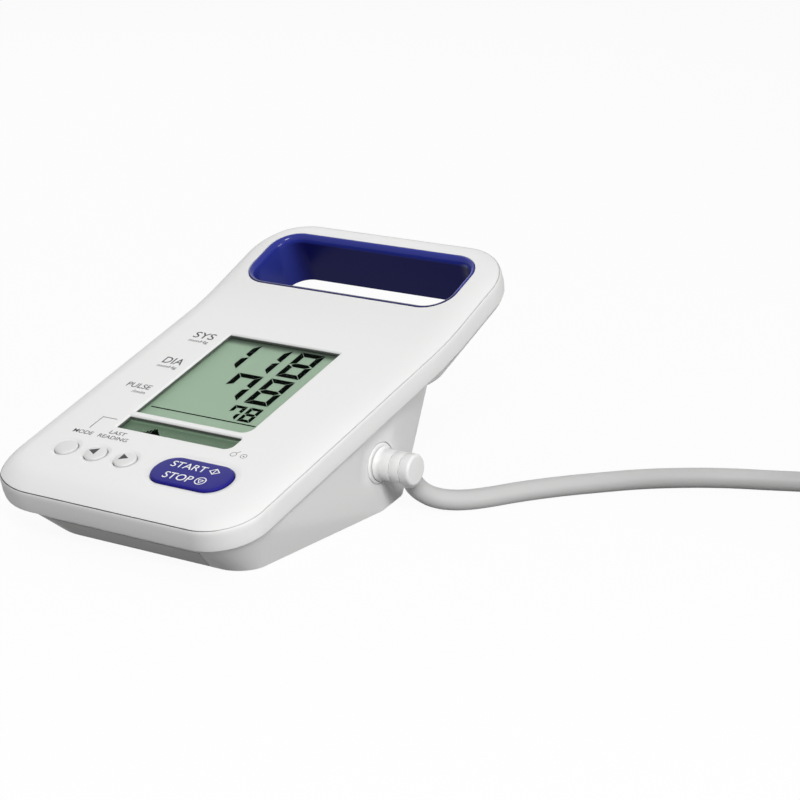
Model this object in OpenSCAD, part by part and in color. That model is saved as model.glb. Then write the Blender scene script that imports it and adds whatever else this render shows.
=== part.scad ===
// Desktop blood pressure monitor with a carry handle, for an arm cuff on an air hose.
// Millimetres. X to the right, Y to the back, Z up, origin under the middle of the monitor.

/* [Front panel] */
// Overall width
panel_w = 123; // [118:1:128]
// Slope of the part that holds the display and keys, in degrees
panel_tilt = 16.4; // [15.5:0.1:17.5]
// Slope of the handle part, in degrees
handle_tilt = 24.7; // [23.5:0.1:26]
// Height of the front edge of the display face above the table
front_h = 22.5; // [21.5:0.5:25]
// Distance up the slope from the front edge to the bend
bend_v = 144.5; // [143:0.5:146]
// Length of the gentle bend between the two slopes
bend_l = 24; // [18:1:28]
// Distance up the slope from the front edge to the far end of the handle
end_v = 204.5; // [203:0.5:208]
// Depth of the panel's rim, square to its face
rim_h = 11.2; // [10:0.1:12]
// Radius of the two front corners
front_r = 20; // [18:0.5:21]
// Radius of the two handle corners
back_r = 24; // [22:0.5:26]
// How far the face falls away towards its edge
crown = 2.8; // [2:0.1:3]
// Thickness of the panel's face
skin = 3; // [3:0.1:3.3]
// Thickness of the panel's rim
rim_wall = 2.6; // [2.2:0.1:3]

/* [Handle] */
// Width of the carry opening in the panel
grip_w = 100; // [94:1:101]
// Front edge of the carry opening, up the slope
grip_v0 = 159.6; // [158.5:0.1:161]
// Length of the carry opening up the slope
grip_l = 35.6; // [33:0.1:36]
// Corner radius of the carry opening
grip_r = 12; // [9:0.5:14]
// Depth of the handle, square to its face
handle_d = 22.4; // [20:0.2:24]
// Wall of the blue liner
liner_wall = 2; // [1.6:0.1:2.6]
// Rounded mouth of the liner
liner_lip = 2.4; // [1:0.1:3]

/* [Case] */
// Height of the feet under the case
foot_h = 0.5; // [0.4:0.1:1]
// Diameter of a foot
foot_d = 9; // [7:0.5:9]
// Front edge of the case's underside
base_y0 = -80.4; // [-81.5:0.1:-78]
// Back edge of the case's underside
base_y1 = 37; // [36:0.5:39]
// How far the underside's left edge lies inside the panel's side
base_in0 = 17.5; // [15.5:0.5:19.5]
// How far the underside's right edge lies inside the panel's side
base_in1 = 8; // [7:0.1:9.5]
// Front left corner radius of the underside
base_r0 = 20; // [16:0.5:21]
// Front right corner radius of the underside
base_r1 = 11; // [9:0.5:13]
// Where the side walls start to turn in towards the back
turn_y = 6; // [4:0.5:8]
// Angle by which the side walls turn in there
turn_a = 12; // [9:0.5:14]
// Radius of the case's back corners
base_r2 = 16; // [12:0.5:18]
// Wall thickness of the case
case_wall = 2.4; // [2:0.1:2.6]

/* [Display] */
// Width of both display windows
window_w = 53.6; // [50:0.2:56]
// Front edge of the main window, up the slope
window_v0 = 59; // [58.5:0.1:60]
// Length of the main window
window_l = 62.5; // [58:0.5:66]
// Front edge of the narrow window
strip_v0 = 47.1; // [46:0.1:47.5]
// Length of the narrow window
strip_l = 8.8; // [7:0.1:9.4]
// Corner radius at the right of the windows
window_r = 4; // [2:0.2:4.4]
// Thickness of the clear window sheet
lens_t = 0.8; // [0.6:0.1:1]
// Thickness of the liquid crystal cell
lcd_t = 2.2; // [1.6:0.1:2.6]

/* [Keys] */
// Radius of a round key
key_r = 4.45; // [4.2:0.05:5]
// Distance of the keys up the slope
key_v = 28.6; // [28:0.1:30]
// Middle of the first round key
key_x0 = -36; // [-38:0.2:-35]
// Spacing of the round keys
key_pitch = 14.1; // [13.6:0.1:14.6]
// Middle of the start and stop key
start_x = 23.7; // [23.2:0.1:26]
// Middle of the start and stop key up the slope
start_v = 28.2; // [27:0.1:29]
// Length of the start and stop key
start_l = 34; // [30:0.2:34.6]
// Width of the start and stop key
start_w = 16.6; // [14:0.2:17]
// How far a key goes down
key_travel = 1.2; // [0.8:0.1:1.4]
// How far a round key stands proud
key_proud = 0.6; // [0.4:0.1:1]
// How far the start and stop key stands proud
start_proud = 0.5; // [0.3:0.1:0.8]
// Width of the shallow dish round a round key
ring_w = 1.5; // [0.8:0.1:1.8]
// Width of the shallow dish round the start and stop key
start_ring_w = 2.6; // [1.4:0.1:3]
// Depth of these dishes at the key
ring_d = 0.5; // [0.3:0.1:0.6]

/* [Air connection] */
// Place of the air socket along Y
port_y = 1.4; // [0.5:0.1:2.5]
// Height of the air socket's middle
port_z = 21.3; // [20.6:0.1:22]
// How far the socket's seat lies inside the panel's side
port_in = 6.5; // [6:0.1:7]
// Outer radius of the socket's flange
port_r = 8; // [7.4:0.1:8.6]
// Bore radius of the socket
bore_r = 3.3; // [3.3:0.1:3.6]
// Radius of the air plug's grip
grip_plug_r = 6.1; // [5.8:0.1:6.4]
// Reach of the air plug out from the socket's flange
plug_l = 16; // [15:0.5:18]
// Diameter of the air hose
hose_d = 8; // [7:0.2:8]

/* [Inside] */
// Diameter of the pump
pump_d = 27; // [24:0.5:27.5]
// Length of the pump's motor
pump_l = 44; // [40:1:46]
// Thickness of the circuit board
board_t = 1.6; // [1.2:0.1:1.8]
// Room between the circuit board and the panel's side
board_side = 12.5; // [11.5:0.5:15.5]
// Length of the battery pack
pack_l = 51; // [48:0.5:51]
// Width of the battery pack
pack_w = 58; // [50:1:60]
// Thickness of the battery pack
pack_h = 14.2; // [13:0.2:14.6]

/* [Hidden] */

gap = 0.3;                 // clearance between pieces that move or slide past each other
seat = 0.1;                // clearance between fixed pieces with curved faces
eps = 0.01;
edge_in = 0.5;             // the face's edge lies this far inside the rim's widest line
crown_w = 14;              // width of the band in which the face falls away
bend_tilt = (panel_tilt + handle_tilt) / 2;

// The monitor's middle lies on the origin, so the front edge is worked out from its length.
body_l = bend_v * cos(panel_tilt) + (end_v - bend_v) * cos(handle_tilt) + rim_h * sin(handle_tilt);
front_reach = edge_in * cos(panel_tilt) + crown * sin(panel_tilt);
front_y = -(body_l + front_reach) / 2;

half_w = panel_w / 2;
base_x0 = base_in0 - half_w;
base_x1 = half_w - base_in1;
case_x = half_w - 1.2;     // half width of the case where it meets the rim
case_v1 = bend_v + 13;     // where the case's back wall meets the handle
under = handle_d - rim_h;  // height of the handle's lower shell
under_run = half_w - grip_w / 2 - 1.4;   // the lower shell slopes in towards the opening
ledge = 0.2;               // joint line between panel and case
flange_h = 1.4;            // flange of the case under the panel's rim
case_r0 = 34;              // the case's front left corner, hidden under the rim
dish_r = 45;               // shallow dish round the air socket
pane_skin = 1.6;           // the face is thinner round the display
pane_edge = 3;             // how far the clear sheet reaches past the windows
pane_v0 = strip_v0 - pane_edge;
pane_l = window_v0 + window_l - pane_v0 + pane_edge;
pane_w = window_w + 2 * pane_edge;
lens_z = -pane_skin - lens_t;
lcd_z = lens_z - lcd_t;
light_t = 2.5;
light_z = lcd_z - light_t;
board_top = -11;
board_v0 = 14;
board_w = panel_w - 2 * board_side;
board_l = pane_v0 + pane_l - board_v0 + 4;
part_in = 19;              // sensor and beeper lie this far inside the board's sides
sensor_w = 10;
sensor_up = 60;            // distance of the sensor from the board's far end
beeper_r = 6;
flange_t = 1.2;
key_top = -skin - gap;     // top of the retaining flange of a key
stem_end = key_top - flange_t - 2.4;
start_flat = 0.4;          // half length of the short flats at the start key's ends
start_r = start_w / 2 - start_flat;
switch_top = stem_end - key_travel - gap;
jack_r = 3.2;              // bore of the power jack
jack_up = 64;              // how far up the board the jack lies
jack_v = board_v0 + jack_up;
jack_out = 2;              // how far the jack stands out from the board
jack_w = 9;
jack_l = 15;
switch_w = 6;
boss_r = 3.2;
boss_h = 10;
pilot_r = 1.1;
screw_r = 1.5;
screw_l = 8;
head_r = 2.7;
head_h = 1.6;
head_sink = 0.2;           // the screw heads lie this far inside the underside
groove_w = 1.2;
groove_l = 12;
lead_w = 6;                // connector of the battery pack
lead_l = 8;
lead_h = 4;
cover_top = 10.2;          // the battery cover reaches this high at the front
cover_spread = 8.6;        // and widens by this much up the front
bay_wall = 2.2;
bay_y0 = base_y0 + 22.4;
cover_x = pack_w / 2 + 8;  // half width of the battery cover at the case's front edge
cover_in = pack_w / 2 + 0.6;      // and under the battery bay, whose walls stand beside it
cover_y1 = bay_y0 + pack_l + 0.6; // back edge of the battery cover
bay_z = foot_h + case_wall + gap + pack_h + gap;
pump_x0 = -38;
pump_y = port_y + 9.2;
pump_z = port_z - 0.4;
pump_ring = 1;             // how far the pump's rubber rings stand out from it
head_l = 15;
head_x = pump_x0 + pump_l;
tube_r = 3;
valve_w = 14;
valve_h = 8;
port_wall_x = half_w - port_in;   // the flat round which the socket is clamped
port_face_x = port_wall_x + 1;
plug_x1 = port_face_x + plug_l;
outlet_x = plug_x1 - 5.4;  // the hose leaves the grip here
outlet_a = 49;             // and points down to the back by this angle
outlet_l = 8;
hose_r = hose_d / 2;

// The hose's route on the table, from the plug to the coil.
function at_outlet(l) = [outlet_x, port_y + l * cos(outlet_a), port_z - l * sin(outlet_a)];
hose_route = [at_outlet(outlet_l), at_outlet(outlet_l + 4.5), [68.4, 13.4, 8.3], [71.3, 17.7, 5.8],
              [75, 22, 4.6], [79, 27, 4.1], [83, 33, 4], [90, 46, 4], [99, 60, 4],
              [110, 74, 4], [122, 87.5, 4], [135, 98.5, 4], [149, 107.5, 4], [165, 115, 4],
              [182, 123, 4], [200, 131, 4], [217, 138.5, 4], [232.2, 144.9, 4]];
coil_c = [252, 99];
coil_r = [42, 50];         // radii of the inner and the outer turns
tail_z = 21.2;             // height of the end of the hose, which lies on the coil
tail_a = [225, 355];
tie_a = 60;
tie_w = 12;
tie_t = 0.6;
cuff_r = 5.2;

// ---------------------------------------------------------------- frames of reference

module on_panel()
    translate([0, front_y, front_h]) rotate([panel_tilt, 0, 0]) children();

module on_handle()
    translate([0, front_y + bend_v * cos(panel_tilt), front_h + bend_v * sin(panel_tilt)])
        rotate([handle_tilt, 0, 0]) translate([0, -bend_v, 0]) children();

// A rounded rectangle made of squares and circles, so that its sides stay true.
module round_rect(w, l, r, fn = 48) {
    square([w - 2 * r, l], center = true);
    square([w, l - 2 * r], center = true);
    for (sx = [-1, 1], sy = [-1, 1])
        translate([sx * (w / 2 - r), sy * (l / 2 - r)]) circle(r, $fn = fn);
}

module slab(w, l, r, h) linear_extrude(h) round_rect(w, l, r);

// ---------------------------------------------------------------- front panel

// Section through the rim at a distance from its widest line; the face is at height 0.
function rim_points(r) = [
    [r - crown_w, 0], [r - 9, -0.1 * crown], [r - 5, -0.35 * crown], [r - 2.4, -0.65 * crown],
    [r - 1.1, -0.85 * crown], [r - edge_in, -crown], [r - 0.15, -crown - 1],
    [r, -crown - 2.6], [r, -rim_h + 2.4], [r - 0.25, -rim_h]];

module rim_puck(r)
    rotate_extrude($fn = 48)
        polygon(concat([[0, 0]], rim_points(r), [[0, -rim_h]]));

module rim_slice()
    rotate([90, 0, 0]) linear_extrude(eps, center = true)
        polygon(concat([for (p = rim_points(half_w)) [-p.x, p.y]],
                       [for (i = [len(rim_points(half_w)) - 1:-1:0]) rim_points(half_w)[i]]));

module bend_front()
    on_panel() translate([0, bend_v - bend_l / 2, 0]) rotate([(bend_tilt - panel_tilt) / 2, 0, 0])
        rim_slice();

module bend_back()
    on_handle() translate([0, bend_v + bend_l / 2, 0]) rotate([(bend_tilt - handle_tilt) / 2, 0, 0])
        rim_slice();

module panel_outside() {
    hull() {
        on_panel() for (s = [-1, 1]) translate([s * (half_w - front_r), front_r, 0])
            rim_puck(front_r);
        bend_front();
    }
    hull() {
        bend_front();
        bend_back();
    }
    hull() {
        on_handle() for (s = [-1, 1]) translate([s * (half_w - back_r), end_v - back_r, 0])
            rim_puck(back_r);
        bend_back();
    }
}

module panel_hollow() {
    inner_w = panel_w - 2 * rim_wall;
    depth = rim_h + 3;
    on_panel() translate([0, bend_v / 2, -skin - depth])
        linear_extrude(depth) intersection() {
            translate([0, bend_v / 2 - 5])
                round_rect(inner_w, 2 * bend_v - 10 - 2 * rim_wall, front_r - rim_wall);
            square([panel_w, bend_v], center = true);
        }
    on_handle() translate([0, bend_v, -skin - depth])
        linear_extrude(depth) intersection() {
            translate([0, end_v - bend_v - rim_wall - bend_v / 2])
                round_rect(inner_w - 2 * seat, bend_v, back_r - rim_wall);
            translate([-half_w, -2]) square([panel_w, end_v]);
        }
}

// The carry opening and everything that lines up with it are cut from this shape.
module grip_shape(grow)
    translate([0, grip_v0 + grip_l / 2])
        round_rect(grip_w + 2 * grow, grip_l + 2 * grow, grip_r + grow, 64);

// The two windows: square at the left, rounded at the right.
module windows_shape() {
    translate([0, window_v0 + window_l / 2]) {
        square([window_w - 2 * window_r, window_l], center = true);
        translate([-window_r / 2, 0]) square([window_w - window_r, window_l], center = true);
        translate([0, window_r / 2]) square([window_w, window_l - window_r], center = true);
        translate([window_w / 2 - window_r, window_r - window_l / 2]) circle(window_r, $fn = 48);
    }
    translate([0, strip_v0 + strip_l / 2]) {
        translate([-window_r / 2, 0]) square([window_w - window_r, strip_l], center = true);
        square([window_w, strip_l - 2 * window_r], center = true);
        for (s = [-1, 1])
            translate([window_w / 2 - window_r, s * (strip_l / 2 - window_r)])
                circle(window_r, $fn = 48);
    }
}

module start_shape(grow)
    translate([start_x, start_v])
        round_rect(start_l + 2 * grow, start_w + 2 * grow, start_r + grow, 64);

// Hole for a round key, with a shallow dish round its mouth
module key_hole() rotate_extrude($fn = 64) polygon([
    [0, -skin - 1], [key_r + gap, -skin - 1], [key_r + gap, -ring_d],
    [key_r + gap + 2 * ring_w, ring_d], [0, ring_d]]);

// The same dish round the start key, with a narrow flat at the foot of its slope
module start_dish() translate([start_x, start_v, -ring_d])
    hull() for (sx = [-1, 1], sy = [-1, 1])
        translate([sx * (start_l / 2 - start_r), sy * start_flat, 0])
            cylinder(r1 = start_r + gap + 0.15, r2 = start_r + gap + 2 * start_ring_w, h = 2 * ring_d, $fn = 32);

key_places = [for (i = [0:2]) [key_x0 + i * key_pitch, key_v]];

// Screw bosses that carry the board, as places in the panel's frame
board_bosses = [for (x = [-1, 1], v = [board_v0 + 5, board_v0 + board_l - 5])
    [x * (board_w / 2 - 5), v]];

module front_panel() color("white") {
    difference() {
        panel_outside();
        panel_hollow();
        on_handle() translate([0, 0, -rim_h - 1]) linear_extrude(rim_h + 3) grip_shape(seat);
        on_panel() {
            translate([0, 0, -skin - 1]) linear_extrude(skin + 2) windows_shape();
            translate([0, pane_v0 + pane_l / 2, -skin - eps])
                slab(pane_w + 2 * gap, pane_l + 2 * gap, 2, skin - pane_skin + eps);
            for (p = key_places) translate([p.x, p.y, 0]) key_hole();
            translate([0, 0, -skin - 1]) linear_extrude(skin + 2) start_shape(gap);
            start_dish();
        }
    }
    on_panel() for (b = board_bosses) translate([b.x, b.y, board_top]) difference() {
        cylinder(r = boss_r, h = -board_top - skin + 0.2, $fn = 32);
        translate([0, 0, -1]) cylinder(r = pilot_r, h = 6, $fn = 24);
    }
}

// ---------------------------------------------------------------- case

// Middle of a back corner of radius r, which touches the turned side wall and the back edge y
function back_corner(x, y, r) =
    [(x * cos(turn_a) + turn_y * sin(turn_a) - r - (y - r) * sin(turn_a)) / cos(turn_a), y - r, r];

// Corners of the case in plan, each [x, y, radius], for given side edges and a given back edge
function case_corners(x0, x1, y0, y1, r0, r1, r2) = [
    [x0 + r0, y0 + r0, r0], [x1 - r1, y0 + r1, r1], [x1 - 4, turn_y, 4], back_corner(x1, y1, r2),
    let (c = back_corner(-x0, y1, r2)) [-c.x, c.y, r2], [x0 + 4, turn_y, 4]];

// The wedge under the panel, drawn in by an amount on every side; its top lies along the slope.
module wedge(inset, floor_z, top) {
    low = case_corners(base_x0, base_x1, base_y0, base_y1, base_r0, base_r1, base_r2);
    top_y0 = front_y + 1.2 * cos(panel_tilt) + top * sin(panel_tilt);
    top_y1 = front_y + case_v1 * cos(panel_tilt) + top * sin(panel_tilt);
    high = case_corners(0.3 - case_x, case_x - 0.3, top_y0, top_y1, case_r0, front_r - 1, base_r2);
    hull() {
        for (p = low) translate([p[0], p[1], floor_z])
            cylinder(r = p[2] - inset, h = 0.6, $fn = 48);
        for (p = high)
            translate([0, front_y + top * sin(panel_tilt), front_h - top * cos(panel_tilt)])
                multmatrix([[1, 0, 0, 0], [0, 1, 0, 0], [0, tan(panel_tilt), 1, 0], [0, 0, 0, 1]])
                    translate([p[0], p[1] - front_y - top * sin(panel_tilt), -0.1])
                        cylinder(r = p[2] - inset, h = 0.1, $fn = 48);
    }
}

// Flat flange that closes the panel's rim from below
module rim_floor() hull() {
    on_panel() {
        for (s = [-1, 1]) translate([s * (case_x - front_r), front_r + 1.2, -rim_h - ledge - flange_h])
            cylinder(r1 = front_r - flange_h, r2 = front_r, h = flange_h, $fn = 48);
        for (s = [-1, 1]) translate([s * (case_x - 2), bend_v - 4, -rim_h - ledge - flange_h])
            cylinder(r1 = 1.2, r2 = 2, h = flange_h, $fn = 24);
    }
}

// Half section of the handle's lower shell at its corners: it slopes in to the carry opening
function under_points(r, inset) = [
    [0, inset / 2], [r - inset, inset / 2], [r - 0.9 - inset, -1.6 + inset / 2],
    [r - under_run + 1.4 - inset, -under + 0.9 + inset], [r - under_run - 0.4 - inset, -under + inset],
    [0, -under + inset]];

module under_puck(r, inset) rotate_extrude($fn = 48) polygon(under_points(r, inset));

module handle_under(inset) {
    r = back_r - 0.6;
    x = half_w - 0.6 - r;
    hull() on_handle() for (s = [-1, 1], v = [bend_v + 3, end_v - 0.6 - r])
        translate([s * x, v, -rim_h - ledge]) under_puck(r, inset);
}

module saddle(x) {
    y1 = pump_y + pump_d / 2 - 2;
    y0 = pump_y - pump_d / 2 + 2;
    difference() {
        translate([x, y0, foot_h + case_wall - 0.2]) cube([2.4, y1 - y0, pump_z - foot_h - case_wall - 5]);
        translate([x - 1, pump_y, pump_z]) rotate([0, 90, 0])
            cylinder(r = pump_d / 2 + seat, h = 5, $fn = 96);
    }
}

// The outline of the battery cover, seen from above; it widens towards the front.
module cover_shape(grow) {
    right = [[cover_x + grow + cover_spread, base_y0 - 19.4], [cover_x + grow, base_y0 + 0.6],
             [cover_in + grow, base_y0 + 12], [cover_in + grow, cover_y1 + grow]];
    polygon(concat(right, [for (i = [3:-1:0]) [-right[i][0], right[i][1]]]));
}

// The space taken by the cover: a flat part under the bay and a part up the front
module cover_space(grow) {
    translate([0, 0, -1]) linear_extrude(foot_h + case_wall + grow + 1.15) cover_shape(grow);
    intersection() {
        translate([0, 0, -1]) linear_extrude(cover_top + grow + 1) cover_shape(grow);
        translate([-half_w, front_y, -2]) cube([panel_w, base_y0 - front_y + 5, 40]);
    }
}

module bay_outside()
    translate([-pack_w / 2 - gap - bay_wall, bay_y0 - gap - bay_wall, foot_h + case_wall - 0.2])
        cube([pack_w + 2 * (gap + bay_wall), pack_l + 2 * (gap + bay_wall),
              bay_z + bay_wall - foot_h - case_wall + 0.2]);

module bay_hollow()
    translate([-pack_w / 2 - gap, bay_y0 - gap, 0])
        cube([pack_w + 2 * gap, pack_l + 2 * gap, bay_z]);

// Places of the case screws and of the feet on the underside
case_bosses = [[base_x0 + 26, base_y1 - 7.5], [base_x1 - 26.5, base_y1 - 7.5],
               [base_x0 + 6, -30], [base_x1 - 6, -28]];
foot_places = [[base_x0 + 14, base_y1 - 12], [base_x1 - 14.5, base_y1 - 12],
               [base_x0 + 6.4, -48], [base_x1 - 7, -52]];

module rear_case() color("whitesmoke") difference() {
    union() {
        difference() {
            union() {
                wedge(0, foot_h, rim_h + 2 * ledge);
                rim_floor();
                handle_under(0);
            }
            wedge(case_wall, foot_h + case_wall, rim_h - 1);
            difference() {
                handle_under(case_wall);
                on_handle() translate([0, 0, -handle_d - 10]) linear_extrude(handle_d + 10)
                    grip_shape(liner_wall + seat);
            }
        }
        // the right wall is backed up where it is dished round the air socket
        along_x(port_wall_x - 4.5) cylinder(r = port_r + 2, h = 4, $fn = 96);
        intersection() {
            wedge(0, foot_h, rim_h + 2 * ledge);
            along_x(port_wall_x - 2.4) cylinder(r = port_r + 9, h = 12, $fn = 96);
        }
        bay_outside();
        saddle(pump_x0 + 4);
        saddle(head_x - 8);
        for (b = case_bosses) translate([b.x, b.y, foot_h + case_wall - 0.2])
            cylinder(r = boss_r, h = boss_h, $fn = 32);
    }
    bay_hollow();
    cover_space(gap);
    on_handle() translate([0, 0, -handle_d - 10]) linear_extrude(handle_d + 20) grip_shape(seat);
    for (b = case_bosses) translate([b.x, b.y, 0]) {
        cylinder(r = head_r + gap, h = foot_h + head_sink + head_h, $fn = 48);
        cylinder(r = screw_r + seat, h = foot_h + case_wall + boss_h + 1, $fn = 32);
    }
    // hole in the left wall for the power jack
    at_jack() rotate(100) translate([0, 0, -jack_l]) cylinder(r = jack_r + 0.6, h = jack_l, $fn = 48);
    // dished flat and bore for the air socket
    along_x(port_wall_x) cylinder(r = port_r + 0.35, h = 10, $fn = 96);
    along_x(port_wall_x - 12) cylinder(r = 6.2, h = 20, $fn = 64);
    translate([port_wall_x + dish_r, port_y - 2, port_z]) sphere(dish_r, $fn = 96);
}

module feet() color("dimgray")
    for (p = foot_places) translate([p.x, p.y, 0]) cylinder(d = foot_d, h = foot_h, $fn = 48);

module battery_cover() color("gainsboro") difference() {
    intersection() {
        difference() {
            wedge(0, foot_h, rim_h + 2 * ledge);
            wedge(case_wall, foot_h + case_wall, rim_h - 1);
        }
        cover_space(0);
    }
    // finger grooves across the front edge
    for (i = [-2:2]) translate([4 * i - groove_w / 2, base_y0 + 4, foot_h - 0.5])
        cube([groove_w, groove_l, 1]);
}

module battery_pack() color("royalblue")
    translate([0, bay_y0 + pack_l / 2, foot_h + case_wall + gap]) {
        cell_r = pack_h / 2;
        pitch = (pack_w - pack_h) / 3;
        for (i = [0:3]) translate([-pack_w / 2 + cell_r + i * pitch, 0, cell_r])
            rotate([90, 0, 0]) cylinder(r = cell_r, h = pack_l, center = true, $fn = 48);
        translate([0, 0, cell_r]) cube([pack_w - pack_h, pack_l, 0.7 * pack_h], center = true);
    }

module battery_lead() color("firebrick")
    translate([-lead_w, bay_y0 + pack_l - lead_l - 2, bay_z + bay_wall])
        cube([lead_w, lead_l, lead_h]);

module case_screws() color("silver")
    for (b = case_bosses) translate([b.x, b.y, foot_h + head_sink]) {
        cylinder(r = head_r, h = head_h, $fn = 32);
        cylinder(r = screw_r, h = screw_l, $fn = 24);
    }

// ---------------------------------------------------------------- handle liner

module handle_liner() color("midnightblue") on_handle() difference() {
    translate([0, 0, -handle_d]) linear_extrude(handle_d + 0.2) grip_shape(0);
    translate([0, 0, -handle_d - 1]) linear_extrude(handle_d + 3) grip_shape(-liner_wall);
    for (i = [0:3]) {
        fall = liner_lip * (1 - cos(i * 30));
        grow = liner_lip * (1 - sin(i * 30)) - liner_wall;
        translate([0, 0, 0.2 - liner_lip + fall]) linear_extrude(liner_lip) grip_shape(min(grow, -0.35));
    }
}

// ---------------------------------------------------------------- display

module display_lens() color("lightcyan", 0.4) on_panel()
    translate([0, pane_v0 + pane_l / 2, lens_z]) slab(pane_w, pane_l, 1.7, lens_t);

module lcd_cell() color("darkseagreen") on_panel()
    translate([0, pane_v0 + pane_l / 2, lcd_z])
        translate([-pane_w / 2 + 0.6, -pane_l / 2 + 0.6, 0]) cube([pane_w - 1.2, pane_l - 1.2, lcd_t]);

module backlight() color("ivory") on_panel()
    translate([-pane_w / 2 + 1.2, pane_v0 + 1.2, light_z]) cube([pane_w - 2.4, pane_l - 2.4, light_t]);

module lcd_holder() color("silver") on_panel() difference() {
    translate([-pane_w / 2 - 1.6, pane_v0 - 1.6, board_top])
        cube([pane_w + 3.2, pane_l + 3.2, lens_z - board_top - 0.8]);
    translate([-pane_w / 2 + 0.6 - seat, pane_v0 + 0.6 - seat, light_z])
        cube([pane_w - 1.2 + 2 * seat, pane_l - 1.2 + 2 * seat, 20]);
    translate([-pane_w / 2 + 4, pane_v0 + 4, board_top - 1]) cube([pane_w - 8, pane_l - 8, 20]);
}

// ---------------------------------------------------------------- keys

module round_key(i) on_panel() translate([key_places[i].x, key_places[i].y, 0])
    rotate_extrude($fn = 64) polygon([
        [0, key_proud], [0.62 * key_r, key_proud - 0.08], [0.86 * key_r, key_proud - 0.3],
        [key_r, key_proud - 0.75], [key_r, key_top], [key_r + 1.2, key_top],
        [key_r + 1.2, key_top - flange_t], [1.6, key_top - flange_t], [1.6, stem_end], [0, stem_end]]);

module mode_key() color("gainsboro") round_key(0);
module back_key() color("gainsboro") round_key(1);
module forward_key() color("gainsboro") round_key(2);

module start_stop_key() color("mediumblue") on_panel() {
    translate([0, 0, key_top]) linear_extrude(-key_top) start_shape(0);
    linear_extrude(start_proud) start_shape(-0.6);
    translate([0, 0, key_top - flange_t]) linear_extrude(flange_t) start_shape(1.2);
    translate([start_x, start_v, stem_end]) cylinder(r = 2, h = key_top - flange_t - stem_end, $fn = 32);
}

module key_switches() color("dimgray") on_panel()
    for (p = concat(key_places, [[start_x, start_v]])) translate([p.x, p.y, board_top]) {
        translate([-switch_w / 2, -switch_w / 2, 0]) cube([switch_w, switch_w, 2]);
        cylinder(r = 1.7, h = switch_top - board_top, $fn = 32);
    }

// ---------------------------------------------------------------- electronics

module main_board() color("seagreen") on_panel() difference() {
    translate([-board_w / 2, board_v0, board_top - board_t]) cube([board_w, board_l, board_t]);
    for (b = board_bosses) translate([b.x, b.y, board_top - board_t - 1])
        cylinder(r = screw_r + 0.1, h = board_t + 2, $fn = 24);
}

module board_screws() color("silver") on_panel()
    for (b = board_bosses) translate([b.x, b.y, board_top - board_t - head_h]) {
        cylinder(r = head_r, h = head_h, $fn = 32);
        cylinder(r = pilot_r - 0.05, h = 6, $fn = 24);
    }

module pressure_sensor() color("black") on_panel()
    translate([board_w / 2 - part_in, board_v0 + board_l - sensor_up, board_top - board_t - 5]) {
        cube([sensor_w, sensor_w, 5]);
        translate([sensor_w / 2, sensor_w / 2, -4]) cylinder(r = 1.5, h = 4.2, $fn = 32);
    }

module beeper() color("black") on_panel()
    translate([part_in - board_w / 2, board_v0 + board_l - 2 * beeper_r, board_top - board_t - 5]) difference() {
        cylinder(r = beeper_r, h = 5, $fn = 48);
        translate([0, 0, -1]) cylinder(r = 1, h = 3, $fn = 24);
    }

module at_jack()
    on_panel() translate([-board_w / 2 - jack_out, jack_v, board_top - board_t - jack_w / 2])
    rotate([0, 90, 0]) children();

module power_jack() color("black") at_jack() difference() {
    translate([-jack_w / 2, -jack_w / 2, 0]) cube([jack_w, jack_w, jack_l]);
    translate([0, 0, -1]) cylinder(r = jack_r, h = 11, $fn = 48);
}

// ---------------------------------------------------------------- air path

module along_x(x) translate([x, port_y, port_z]) rotate([0, 90, 0]) children();

module pump_motor() color("silver")
    translate([pump_x0, pump_y, pump_z]) rotate([0, 90, 0]) {
        cylinder(d = pump_d, h = pump_l, $fn = 96);
        translate([0, 0, -1.5]) cylinder(d = 10, h = 1.6, $fn = 48);
    }

module pump_head() color("black") {
    translate([head_x, pump_y, pump_z]) rotate([0, 90, 0]) cylinder(d = pump_d - 1, h = head_l, $fn = 96);
    along_x(head_x + head_l - 0.2) cylinder(r = 1.9, h = 6.2, $fn = 32);
}

module pump_rings() color("dimgray")
    for (x = [pump_x0 + 2.6, head_x - 9.4])
        translate([x, pump_y, pump_z]) rotate([0, 90, 0]) difference() {
            cylinder(r = pump_d / 2 + pump_ring, h = 1.2, $fn = 96);
            translate([0, 0, -1]) cylinder(r = pump_d / 2 + seat, h = 4, $fn = 96);
        }

module inner_tube() color("lightgray") {
    x0 = head_x + head_l;
    x1 = port_wall_x - 15;
    difference() {
        union() {
            along_x(x0) cylinder(r = tube_r, h = x1 - x0, $fn = 48);
            translate([x0 + 9, port_y, port_z]) cylinder(r = tube_r, h = 7, $fn = 48);
        }
        along_x(x0 - 1) cylinder(r = 2, h = 40, $fn = 48);
        translate([x0 + 9, port_y, port_z]) cylinder(r = 2, h = 20, $fn = 48);
    }
}

module release_valve() color("slategray")
    translate([head_x + head_l + 9, port_y, port_z + 7]) {
        translate([-valve_w / 2, -valve_w / 2, 0]) cube([valve_w, valve_w, valve_h]);
        translate([0, 0, -3]) cylinder(r = 1.9, h = 3.2, $fn = 32);
    }

module air_socket() color("lightgray")
    difference() {
        union() {
            along_x(port_wall_x) cylinder(r = port_r, h = port_face_x - port_wall_x, $fn = 96);
            along_x(port_wall_x - 10) cylinder(r = 6, h = 10 + eps, $fn = 64);
            along_x(port_wall_x - 18) cylinder(r = 1.9, h = 8 + eps, $fn = 32);
        }
        along_x(port_wall_x - 9) cylinder(r = bore_r, h = 20, $fn = 64);
        along_x(port_wall_x - 20) cylinder(r = 1, h = 20, $fn = 32);
    }

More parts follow.
